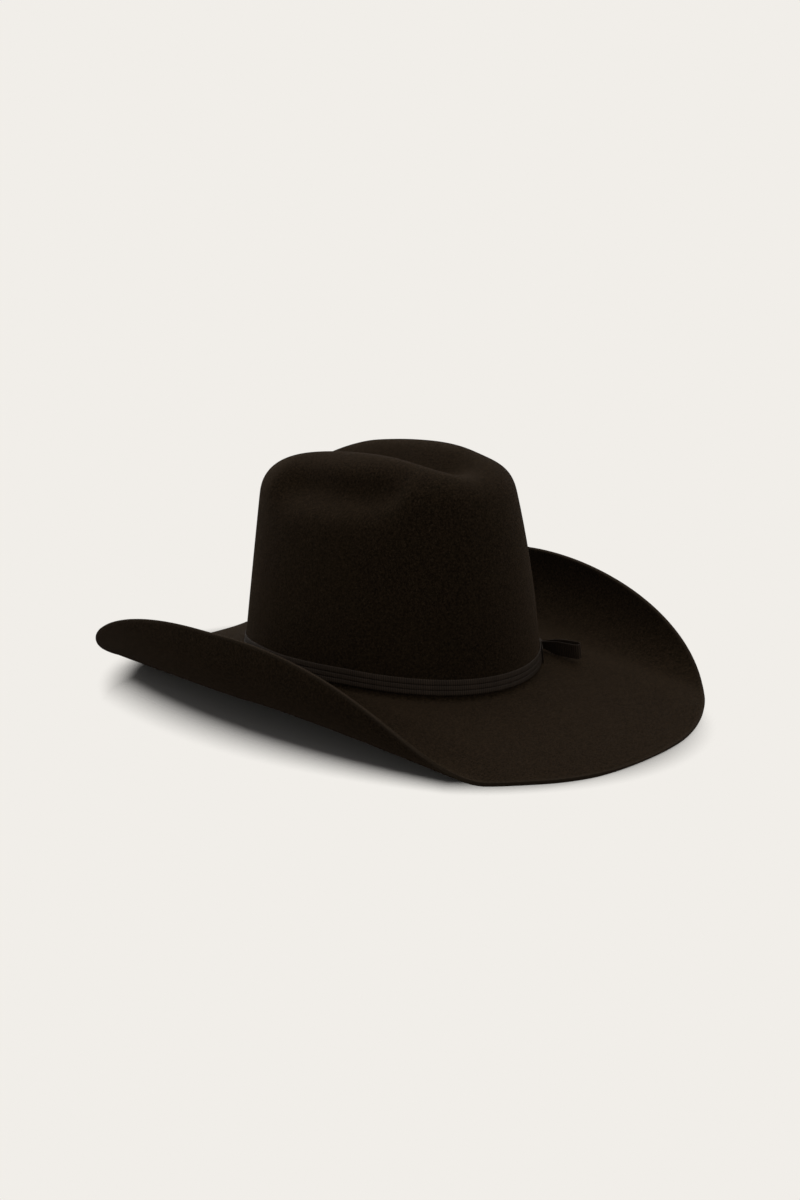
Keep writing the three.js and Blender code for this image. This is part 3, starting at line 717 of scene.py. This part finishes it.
def loop_line(end, shape, lean=0.0):
    """The middle line of a flattened loop from the knot to its end and back, as forwards,
    out, up and width. The shape gives share of the reach, half opening and width; lean
    lifts the outer layer above the inner one."""
    end = np.asarray(end, float)
    out = np.array([-end[1], end[0], 0]) / math.hypot(end[0], end[1]) * np.sign(end[0])
    lines = []
    for side, rows in ((-1, shape), (1, shape[::-1])):
        for share, half, width in rows:
            point = end * share + out * half * side + (0, 0, lean * side * min(share * 2, 1))
            lines.append((*point, width))
    nose = (*end, shape[-1][2])
    return lines[: len(shape)] + [nose] + lines[len(shape) :]


FRONT_END, REAR_END = (24.0, 20.2, 1.0), (-30.2, -0.6, 2.4)  # forwards, out and up
FRONT_SHAPE = [
    (-0.04, 0.3, 4.6), (0.12, 0.7, 5.2), (0.28, 1.2, 7.4), (0.45, 1.6, 9.3),
    (0.7, 1.9, 9.8), (0.9, 1.8, 9.8), (0.98, 1.0, 9.8),
]
REAR_SHAPE = [
    (-0.04, 0.3, 4.8), (0.12, 0.5, 5.4), (0.4, 1.3, 8.6),
    (0.7, 1.7, 9.4), (0.92, 1.5, 9.4), (0.99, 0.8, 9.4),
]
FRONT_LOOP = loop_line(FRONT_END, FRONT_SHAPE, lean=0.3)
REAR_LOOP = loop_line(REAR_END, REAR_SHAPE)


def bow_loop(name, numbers, origin=bow_origin, axes=bow_axes, count=90):
    line = smooth_line(numbers, count)
    return strip(name, place_on_bow(line[:, :3], origin, axes), axes[2], line[:, 3])


def join(name, *pieces):
    """Joins meshes into one piece."""
    with bpy.context.temp_override(active_object=pieces[0], selected_editable_objects=list(pieces)):
        bpy.ops.object.join()
    pieces[0].name = pieces[0].data.name = name
    return pieces[0]


bow_loops = join("bow_loops_ribbon", bow_loop("front", FRONT_LOOP), bow_loop("rear", REAR_LOOP))
dress(bow_loops, RIBBON_FINISH, "bow_loops")
print("bow loops:", len(bow_loops.data.polygons), "faces")

# %% Knot and tail
KNOT_HALF_DEPTH, KNOT_HALF_HEIGHT, KNOT_SQUARENESS = 1.25, 3.1, 3.2
KNOT_WIDTH, KNOT_CUP = 6.5, -0.25


def wrap_ring(half_depth, half_height, squareness, count=64):
    """A rounded oblong ring in the plane across a bow's waist, as (0, depth, height)."""
    t = ring_angles(count)
    power = 2 / squareness
    depth = half_depth * np.sign(np.cos(t)) * np.abs(np.cos(t)) ** power
    height = half_height * np.sign(np.sin(t)) * np.abs(np.sin(t)) ** power
    return np.stack([0 * t, depth, height], 1)


knot_ring = wrap_ring(KNOT_HALF_DEPTH, KNOT_HALF_HEIGHT, KNOT_SQUARENESS)
bow_knot = strip("bow_knot_ribbon", place_on_bow(knot_ring), bow_axes[0],
                 KNOT_WIDTH, closed=True, cup=KNOT_CUP)
dress(bow_knot, RIBBON_FINISH, "bow_knot")

TAIL_HALF_LENGTH, TAIL_ABOVE, TAIL_OFF_BAND = 25.0, 5.4, 0.75


def tail_line(count=40):
    """The tail follows the ribbon round the crown, so it is laid on the wall itself."""
    reach = np.linalg.norm(wall(np.array([BOW_ANGLE]), TAIL_ABOVE)[0][:2])
    run = np.linspace(-TAIL_HALF_LENGTH, TAIL_HALF_LENGTH, count)
    return off_wall(BOW_ANGLE - run / reach, TAIL_ABOVE, BAND_FACE + TAIL_OFF_BAND)


bow_tail = strip("bow_tail_ribbon", tail_line(), bow_axes[2], RIBBON_WIDTH)
dress(bow_tail, RIBBON_FINISH, "bow_tail")
print("knot and tail made")

# %% [markdown]
# ## The leather sweatband
# Inside the crown a band of thin sheepskin touches the head. Its lower edge is sewn to a
# tape that wraps a plastic reed, and the reed keeps the opening's shape. Leather has no
# weave, so its grain is a cell pattern on Object coordinates: small flat islands between
# fine creases, with broad clouds of colour where it has been handled.

# %% Leather material
LEATHER_FOLD, LEATHER_DARK, LEATHER_LIGHT = (
    (0.016, 0.0075, 0.0040), (0.028, 0.0125, 0.0060), (0.046, 0.0215, 0.0105))


def leather_material():
    material, tree, shader = new_material("brown_sheepskin", 0.5, Specular_IOR_Level=0.45)
    place = add(tree, "TexCoord").outputs["Object"]
    cells = add(tree, "TexVoronoi", {"Vector": place}, Scale=850.0)
    cells.feature = "DISTANCE_TO_EDGE"
    island = spread(tree, cells.outputs["Distance"], 0.02, 0.28)
    cloud = spread(tree, noise(tree, place, scale=18, detail=4), 0.3, 0.7)
    tone = blend_colours(tree, cloud, LEATHER_DARK, LEATHER_LIGHT)
    paint(tree, shader, island, LEATHER_FOLD, tone)
    polish = add(tree, "MapRange", {"Value": cloud})
    polish.inputs["To Min"].default_value, polish.inputs["To Max"].default_value = 0.42, 0.62
    tree.links.new(polish.outputs["Result"], shader.inputs["Roughness"])
    pores = times(tree, noise(tree, place, scale=2200, detail=2), 0.3)
    relief(tree, shader, plus(tree, island, pores), distance=0.00012, strength=0.7)
    return material


# %% Build the sweatband, its reed and its tape
SWEATBAND_HEIGHT, SWEATBAND_BOTTOM = 56, 2.2
SWEATBAND_OUTSIDE, SWEATBAND_INSIDE, SWEATBAND_ROUND = -4.65, -5.75, 0.4
REED_MIDDLE, REED_RADIUS = -5.2, 1.0
TAPE_INNER, TAPE_OUTER = 1.3, 1.8  # radii about the reed

band_oblong = rounded_box(SWEATBAND_BOTTOM, SWEATBAND_HEIGHT, SWEATBAND_INSIDE,
                          SWEATBAND_OUTSIDE, SWEATBAND_ROUND)
sweatband = hoop("sweatband_leather", fill_section(band_oblong, step=3.0))
dress(sweatband, leather_material(), "sweatband")


def reed_ring(radius, start, end, count):
    """Points of an arc about the reed, in the section of a hoop. 0 degrees is outwards."""
    turns = np.radians(np.linspace(start, end, count))
    return [(radius * math.sin(t), REED_MIDDLE + radius * math.cos(t)) for t in turns]


def plain_material(name, colour, roughness, grain=0.15, scale=900, **inputs):
    """A finish with a fine mottled grain, for small parts."""
    material, tree, shader = new_material(name, roughness, **inputs)
    place = add(tree, "TexCoord").outputs["Object"]
    speck = noise(tree, place, scale, detail=3)
    darker = tuple(c * (1 - grain) for c in colour)
    lighter = tuple(c * (1 + grain) for c in colour)
    paint(tree, shader, spread(tree, speck, 0.3, 0.7), darker, lighter)
    relief(tree, shader, speck, distance=0.00008, strength=0.5)
    return material


REED_FINISH = plain_material("milky_plastic", (0.62, 0.59, 0.52), 0.38, grain=0.05, scale=300,
                             Transmission_Weight=0.15)
reed = hoop("sweatband_reed_cane", reed_ring(REED_RADIUS, start=0, end=345, count=20))
dress(reed, REED_FINISH, "sweatband_reed")

TAPE_FINISH = ribbon_material("black_cotton_tape", (0.006, 0.005, 0.004), (0.020, 0.0165, 0.013),
                              roughness=0.85, pitch=0.0006)
tape_section = (reed_ring(TAPE_OUTER, start=120, end=420, count=18)
                + reed_ring(TAPE_INNER, start=420, end=120, count=18))
reed_tape = hoop("reed_tape_cotton", tape_section)
dress(reed_tape, TAPE_FINISH, "reed_tape")
print("sweatband, reed and tape made")

# %% [markdown]
# ## Patches on the wall: seam tape and labels
# The sweatband's ends meet at the rear over a strip of tape, and two blank labels are
# tucked behind it. Each is a thin patch that follows the wall between two angles. A patch
# is a hoop that stops, so it uses the same section, with its two ends closed.

# %% Patches
REAR = math.pi / 2
PATCH_OUTSIDE, PATCH_ROUND_SHARE = -3.8, 0.4
SEAM_TAPE_HALF_WIDTH, SEAM_TAPE_THICKNESS = 11, 0.5
SEAM_TAPE_TOP = SWEATBAND_HEIGHT - 0.35
LABEL_CLEARANCE, LABEL_THICKNESS = 4, 0.3


def patch(name, middle, half_width, low, high, thickness, steps=28):
    """A thin piece on the wall, about an angle and between two heights."""
    half = half_width / np.linalg.norm(head(np.array([middle])))
    angle = np.linspace(middle - half, middle + half, steps)
    section = rounded_box(low, high, PATCH_OUTSIDE - thickness, PATCH_OUTSIDE,
                          thickness * PATCH_ROUND_SHARE, steps=2)
    section = fill_section(section, step=2.5)
    columns = [off_wall(angle, above, out) for above, out in section]
    return skin(name, np.stack(columns, 1), closed=False)


seam_tape = patch("sweatband_seam_tape_cotton", REAR, SEAM_TAPE_HALF_WIDTH, SWEATBAND_BOTTOM,
                  SEAM_TAPE_TOP, SEAM_TAPE_THICKNESS)
dress(seam_tape, TAPE_FINISH, "sweatband_seam_tape")

LABEL_FINISH = ribbon_material("white_satin_label", (0.50, 0.47, 0.41), (0.74, 0.71, 0.64),
                               roughness=0.55, pitch=0.0005)
for name, node, side, half_width, low, high in (
    ("size_label_blank", "size_label", -1, 11, 18, 40),
    ("content_label_blank", "content_label", 1, 12, 16, 44),
):
    apart = (SEAM_TAPE_HALF_WIDTH + LABEL_CLEARANCE + half_width) / HEAD_REAR
    label = patch(name, REAR + side * apart, half_width, low, high, LABEL_THICKNESS)
    dress(label, LABEL_FINISH, node)
print("seam tape and labels made")

# %% The small bow at the rear of the sweatband
INNER_BOW_ABOVE, INNER_BOW_OUT = SWEATBAND_HEIGHT * 0.33, SWEATBAND_INSIDE - 3.0
INNER_KNOT_HALF_DEPTH, INNER_KNOT_HALF_HEIGHT, INNER_KNOT_SQUARENESS = 1.15, 2.0, 3.0
INNER_KNOT_WIDTH, INNER_KNOT_CUP = 3.6, -0.15
inner_origin, inner_axes = bow_frame(REAR, INNER_BOW_ABOVE, INNER_BOW_OUT)
HALF_BOW = [  # along, out, up and width, from the knot round the loop and back
    (0.0, -0.30, 0.0, 2.6), (3.0, -0.45, 0.0, 3.2), (7.0, -1.2, 0.2, 4.0), (11.0, -1.3, 0.3, 4.0),
    (12.6, -0.7, 0.3, 4.0), (12.8, 0.1, 0.3, 4.0), (11.6, 0.9, 0.3, 4.0), (7.0, 1.0, 0.2, 4.0),
    (3.0, 0.55, 0.0, 3.2), (0.0, 0.35, 0.0, 2.6),
]
OTHER_HALF = [(-x, y, z, width) for x, y, z, width in HALF_BOW]
inner_loops = join(
    "sweatband_bow_loops_ribbon",
    bow_loop("left", HALF_BOW, inner_origin, inner_axes, count=60),
    bow_loop("right", OTHER_HALF, inner_origin, inner_axes, count=60),
)
dress(inner_loops, RIBBON_FINISH, "sweatband_bow_loops")
inner_ring = wrap_ring(INNER_KNOT_HALF_DEPTH, INNER_KNOT_HALF_HEIGHT, INNER_KNOT_SQUARENESS, count=40)
inner_knot = strip("sweatband_bow_knot_ribbon", place_on_bow(inner_ring, inner_origin, inner_axes),
                   inner_axes[0], INNER_KNOT_WIDTH, closed=True, cup=INNER_KNOT_CUP)
dress(inner_knot, RIBBON_FINISH, "sweatband_bow_knot")
print("inner bow made")

# %% [markdown]
# ## The satin lining
# The lining is two sheets of satin: a side gathered where it meets the tip, and an oval tip
# stretched under the crown. The gathers could be simulated as cloth. A ripple that grows
# towards the gathered edge is used instead: two waves whose phases wander look as loose and
# repeat exactly. The side's cut size is worked out from its gathered outline and printed.

# %% Satin material
SATIN_DARK, SATIN_LIGHT = (0.0065, 0.0050, 0.0040), (0.020, 0.0160, 0.0130)


def satin_material():
    material, tree, shader = new_material("dark_satin", 0.32, Specular_IOR_Level=0.5,
                                          Sheen_Weight=0.1, Sheen_Roughness=0.3, Anisotropic=0.5)
    place = add(tree, "TexCoord").outputs["UV"]
    yarn = noise(tree, place, scale=1400, detail=2, stretch=(1, 0.15, 1))
    cloud = spread(tree, noise(tree, place, scale=30, detail=3), 0.3, 0.7)
    shade = plus(tree, times(tree, yarn, 0.6), times(tree, cloud, 0.4))
    paint(tree, shader, shade, SATIN_DARK, SATIN_LIGHT)
    relief(tree, shader, yarn, distance=0.00006, strength=0.6)
    return material


# %% Build the lining's side
LINING_OUTSIDE, LINING_THICKNESS, LINING_ROUND = -2.95, 0.4, 0.18
LINING_LOW, LINING_BELOW_SHOULDER = 14, 16.8
LINING_HIGH = SHOULDER_HEIGHT - LINING_BELOW_SHOULDER
GATHERS, FINE_GATHERS = 64, 101  # waves round the hat
LEAST_GATHER, GATHER_GROWTH = 0.05, 0.75
SATIN_FINISH = satin_material()


def gather(angle, above):
    """How far the gathers stand in from the felt: least behind the sweatband, most at the tip."""
    share = np.clip((above - SWEATBAND_HEIGHT) / (LINING_HIGH - SWEATBAND_HEIGHT), 0, 1)
    wander = 0.5 * np.sin(5 * angle + 1) + 0.4 * np.sin(11 * angle + 2)
    wave = np.sin(GATHERS * angle + 4 * wander) + 0.5 * np.sin(FINE_GATHERS * angle + 3 * wander + 1)
    return -(1.5 + wave) * (LEAST_GATHER + GATHER_GROWTH * share**1.5)


side_oblong = rounded_box(LINING_LOW, LINING_HIGH, LINING_OUTSIDE - LINING_THICKNESS,
                          LINING_OUTSIDE, LINING_ROUND, steps=1)
lining_side = hoop("lining_side_satin", fill_section(side_oblong, step=3.5), steps=720, ripple=gather)
dress(lining_side, SATIN_FINISH, "lining_side")


def outline_length(above, count=1440):
    """The real length of the lining's outline at a height, in metres, with its gathers."""
    angle = ring_angles(count)
    line = off_wall(angle, above, LINING_OUTSIDE + gather(angle, above))
    return lengths(np.concatenate([line, line[:1]]))[-1] * MM


side_length = outline_length((LINING_LOW + LINING_HIGH) / 2)
side_cut = (round(side_length, 3), round((LINING_HIGH - LINING_LOW) * MM, 3))
print("lining side cut to", side_cut, "gathered to", round(outline_length(LINING_HIGH), 3))

# %% Build the lining's tip and its clear shield
LINING_HEADROOM = 20  # between the crease's underside and the middle of the tip
TIP_TOP = CROWN_HEIGHT - CREASE_DEPTH - FELT - LINING_HEADROOM
TIP_RISE, TIP_INSET = 0.9, 0.6  # of the tip's rim, from the side's upper edge
SHIELD_SHARE, SHIELD_DROP, SHIELD_THICKNESS = 0.55, 0.85, 0.3


def tip_point(angle, share, drop):
    """A point of the domed tip: share 0 is its middle and share 1 its rim."""
    rim = off_wall(angle, LINING_HIGH + TIP_RISE, LINING_OUTSIDE - TIP_INSET)
    height = mix(TIP_TOP, rim[..., 2], share**2)
    slack = 0.35 * np.sin(7 * angle + 3 * share) * share**2 * (1 - share) * 4
    pucker = 0.25 * np.sin(GATHERS * angle) * np.clip((share - 0.85) / 0.15, 0, 1)
    return stack(rim[..., 0] * share, rim[..., 1] * share, height - drop - slack - pucker)


def tip_sheet(name, reach, drop, thickness, rows, steps):
    angle = ring_angles(steps)
    shares = np.linspace(0, reach, rows + 1)[1:]
    upper = [tip_point(angle, share, drop) for share in shares]
    under = [tip_point(angle, share, drop + thickness) for share in shares[::-1]]
    centre = tip_point(np.zeros(1), 0.0, drop)[0]
    return skin(name, upper + under, closed=False, poles=(centre, centre - (0, 0, thickness)))


lining_tip = tip_sheet("lining_tip_satin", 1.0, 0.0, LINING_THICKNESS, rows=26, steps=384)
dress(lining_tip, SATIN_FINISH, "lining_tip")

shield = tip_sheet("lining_tip_shield_clear", SHIELD_SHARE, SHIELD_DROP, SHIELD_THICKNESS,
                   rows=10, steps=192)
shield_finish, shield_tree, shield_shader = new_material(
    "clear_film", 0.12, Base_Color=(0.9, 0.92, 0.93, 1), Transmission_Weight=1.0, IOR=1.3)
film = noise(shield_tree, add(shield_tree, "TexCoord").outputs["Object"], scale=60, detail=3)
relief(shield_tree, shield_shader, film, distance=0.0004, strength=0.4)
dress(shield, shield_finish, "lining_tip_shield")
print("shield made")

# %% [markdown]
# ## Stitches
# Thread holds the sweatband to its tape, closes the seam at its rear, and joins the lining's
# tip to its side. A stitch is a short rounded bead of thread, and hundreds follow a path,
# so Geometry Nodes place them: the path is cut into equal steps, one bead is put on each
# and turned along the path. The tree's inputs set the step and the bead.

# %% The stitch tree
STITCH_STEP, STITCH_LENGTH, THREAD_WIDTH = 0.0032, 0.0022, 0.0005  # metres


def stitch_tree(finish):
    tree = bpy.data.node_groups.new("stitches", "GeometryNodeTree")
    interface = tree.interface
    interface.new_socket("Path", in_out="INPUT", socket_type="NodeSocketGeometry")
    for name, value in (("Step", STITCH_STEP), ("Length", STITCH_LENGTH), ("Thread", THREAD_WIDTH)):
        socket = interface.new_socket(name, in_out="INPUT", socket_type="NodeSocketFloat")
        socket.default_value = value
    interface.new_socket("Stitches", in_out="OUTPUT", socket_type="NodeSocketGeometry")

    def put(kind, links=None, **inputs):
        node = tree.nodes.new("GeometryNode" + kind)
        for name, value in inputs.items():
            node.inputs[name].default_value = value
        for name, socket in (links or {}).items():
            tree.links.new(socket, node.inputs[name])
        return node

    given = tree.nodes.new("NodeGroupInput").outputs
    to_curve = put("MeshToCurve", {"Mesh": given["Path"]})
    sampled = tree.nodes.new("GeometryNodeCurveToPoints")
    sampled.mode = "LENGTH"
    tree.links.new(to_curve.outputs["Curve"], sampled.inputs["Curve"])
    tree.links.new(given["Step"], sampled.inputs["Length"])
    bead = put("MeshUVSphere", Segments=6, Rings=5, Radius=0.5)
    size = tree.nodes.new("ShaderNodeCombineXYZ")
    tree.links.new(given["Thread"], size.inputs["X"])
    tree.links.new(given["Thread"], size.inputs["Y"])
    tree.links.new(given["Length"], size.inputs["Z"])
    shaped = put("Transform", {"Geometry": bead.outputs["Mesh"], "Scale": size.outputs["Vector"]})
    placed = put("InstanceOnPoints", {"Points": sampled.outputs["Points"],
                                      "Instance": shaped.outputs["Geometry"],
                                      "Rotation": sampled.outputs["Rotation"]})
    real = put("RealizeInstances", {"Geometry": placed.outputs["Instances"]})
    painted = put("SetMaterial", {"Geometry": real.outputs["Geometry"]})
    painted.inputs["Material"].default_value = finish
    leave = tree.nodes.new("NodeGroupOutput")
    tree.links.new(painted.outputs["Geometry"], leave.inputs["Stitches"])
    return tree


THREAD_FINISH = plain_material("waxed_thread", (0.060, 0.042, 0.028), 0.6, grain=0.3, scale=3000,
                               Sheen_Weight=0.2)
STITCHES = stitch_tree(THREAD_FINISH)


def sew(name, path, closed, step=STITCH_STEP, length=STITCH_LENGTH, thread=THREAD_WIDTH):
    """Puts stitches along a line of points given in millimetres about the head opening."""
    points = (np.asarray(path) + (0, 0, OPENING_HEIGHT)) * MM
    edges = [(i, i + 1) for i in range(len(points) - 1)] + ([(len(points) - 1, 0)] if closed else [])
    mesh = bpy.data.meshes.new(name + "_path")
    mesh.from_pydata(points.tolist(), edges, [])
    carrier = put_in_scene(name + "_path", mesh)
    modifier = carrier.modifiers.new("stitches", "NODES")
    modifier.node_group = STITCHES
    values = {"Step": step, "Length": length, "Thread": thread}
    for item in STITCHES.interface.items_tree:
        if item.in_out == "INPUT" and item.name in values:
            modifier[item.identifier] = values[item.name]
    bpy.context.view_layer.update()
    evaluated = carrier.evaluated_get(bpy.context.evaluated_depsgraph_get())
    sewn = put_in_scene(name, bpy.data.meshes.new_from_object(evaluated))
    bpy.data.objects.remove(carrier)
    sewn.data.polygons.foreach_set("use_smooth", np.ones(len(sewn.data.polygons), bool))
    return sewn


# %% Sew the sweatband and its seam
STITCH_HEIGHT, STITCH_OUT = 5.0, SWEATBAND_INSIDE - 0.1
RIM_STITCH_SHARE, RIM_STITCH_DROP = 0.985, LINING_THICKNESS + 0.05
ring = ring_angles(360)
hem = sew("hem", off_wall(ring, STITCH_HEIGHT, STITCH_OUT), closed=True)


def zigzag(count, half_width, low, high):
    """Crossing stitches up the sweatband's rear seam."""
    reach = np.linalg.norm(head(np.array([REAR])))
    angles = REAR + half_width / reach * np.where(np.arange(count) % 2, 1, -1)
    return off_wall(angles, np.linspace(low, high, count), STITCH_OUT)


crossings = zigzag(count=44, half_width=2.2, low=7, high=SWEATBAND_HEIGHT - 2)
seam = sew("seam", crossings, closed=False, step=0.0024)
sweatband_stitches = join("sweatband_stitches", hem, seam)
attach(sweatband_stitches, "root")

lining_stitches = sew("lining_stitches", tip_point(ring, RIM_STITCH_SHARE, RIM_STITCH_DROP),
                      closed=True, step=0.003, length=0.002, thread=0.0004)
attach(lining_stitches, "root")
print("stitches:", len(sweatband_stitches.data.polygons) + len(lining_stitches.data.polygons), "faces")

# %% [markdown]
# ## Floor and light
# The hat stands on a dark grey floor in a bright, even room. The floor fades into the
# world's colour just outside the hat, along an outline drawn round the shadow, so there is no
# horizon and the shadow stays close to the brim. That shadow is partly rendered and partly
# painted: the dark floor and its drawn outline are a painted shadow. The world lights every
# side alike, and one large soft lamp overhead makes the upward faces brighter.

# %% Floor and light
# The floor's own dark grey colour is painted shade: it deepens the shadow round the brim.
PALE, SHADOW_FLOOR_COLOUR = (0.8796, 0.855, 0.8148), (0.22, 0.217, 0.215, 1)
FLOOR_RINGS = np.concatenate([np.linspace(0.002, 0.3, 120), [0.4, 0.7, 1.5, 3.0]])
FLOOR_DROP = 0.0002  # a hair below the felt
# The fade's two outlines beside the hat, in millimetres: a width, its slope and its bend.
# They are the inner and outer edges of the painted shadow.
FADE_START, START_SLOPE, START_BEND = 109, -0.045, -0.0007
FADE_END, END_SLOPE, END_BEND, LEAST_FADE = 149.5, 0.02, -0.0012, 10
HAT_HALF_WIDTH, HAT_HALF_LENGTH = 147, 206
END_FADE_SHARE, END_FADE_LENGTH, FADE_POWER = 0.97, 0.13, 1.25


def painted_shadow_clearness(x, y):
    """How far the floor has faded into the backdrop, from points in metres: 0 under the hat,
    where its shadow falls, and 1 everywhere else. The outline between is drawn round the
    shadow, so the dark floor it leaves is a painted shadow."""
    x, y = np.abs(x) / MM, y / MM
    start = FADE_START + START_SLOPE * y + START_BEND * y * y
    end = np.maximum(FADE_END + END_SLOPE * y + END_BEND * y * y, start + LEAST_FADE)
    aside = (x - start) / (end - start)
    ahead = (np.hypot(x / HAT_HALF_WIDTH, y / HAT_HALF_LENGTH) - END_FADE_SHARE) / END_FADE_LENGTH
    return 1 - (1 - np.clip(np.maximum(aside, ahead), 0, 1)) ** FADE_POWER


def build_floor():
    steps = ring_angles(240)
    x = np.outer(FLOOR_RINGS, np.cos(steps)).ravel()
    y = np.outer(FLOOR_RINGS, np.sin(steps)).ravel()
    count = len(steps)
    faces = [tuple(range(count))]
    for i in range(len(FLOOR_RINGS) - 1):
        for j in range(count):
            k = (j + 1) % count
            faces.append((i * count + j, (i + 1) * count + j, (i + 1) * count + k, i * count + k))
    mesh = bpy.data.meshes.new("floor")
    mesh.from_pydata(stack(x, y, -FLOOR_DROP).tolist(), [], faces)
    # The clear attribute is the painted shadow's fade: 0 where the dark floor shows.
    clear = painted_shadow_clearness(x, y).astype(np.float32)
    mesh.attributes.new("clear", "FLOAT", "POINT").data.foreach_set("value", clear)
    floor = put_in_scene("floor", mesh)
    return floor


def floor_material():
    material, tree, shader = new_material("painted_shadow_floor", 0.9, Specular_IOR_Level=0.0)
    shader.inputs["Base Color"].default_value = SHADOW_FLOOR_COLOUR
    fade = add(tree, "Attribute")
    fade.attribute_name = "clear"
    clear = add(tree, "BsdfTransparent")
    seen = tree.nodes.new("ShaderNodeLightPath").outputs["Is Camera Ray"]  # it still bounces light
    # Camera rays see the dark floor only inside the drawn outline: a painted shadow round the brim.
    mixer = add(tree, "MixShader", {"Fac": times(tree, fade.outputs["Fac"], seen)})
    tree.links.new(shader.outputs["BSDF"], mixer.inputs[1])
    tree.links.new(clear.outputs["BSDF"], mixer.inputs[2])
    tree.links.new(mixer.outputs["Shader"], tree.nodes["Material Output"].inputs["Surface"])
    return material


floor = build_floor()
floor.data.materials.append(floor_material())

world = bpy.data.worlds.new("studio")
world.use_nodes = True
world.node_tree.nodes["Background"].inputs["Color"].default_value = (*PALE, 1)
bpy.context.scene.world = world

LAMP_PLACE, LAMP_TARGET = Vector((0.25, 0.1, 1.5)), Vector((0, 0, 0.05))
lamp_data = bpy.data.lights.new("overhead", "AREA")
lamp_data.shape = "DISK"
lamp_data.size = 1.4
lamp_data.energy = 12
lamp_data.color = (1.0, 0.98, 0.95)
lamp = put_in_scene("overhead", lamp_data)
lamp.location = LAMP_PLACE
lamp.rotation_euler = (LAMP_TARGET - LAMP_PLACE).to_track_quat("-Z", "Y").to_euler()
bpy.context.scene.view_settings.view_transform = "Standard"
print("floor, world and lamp ready")

# %% Finish
import json
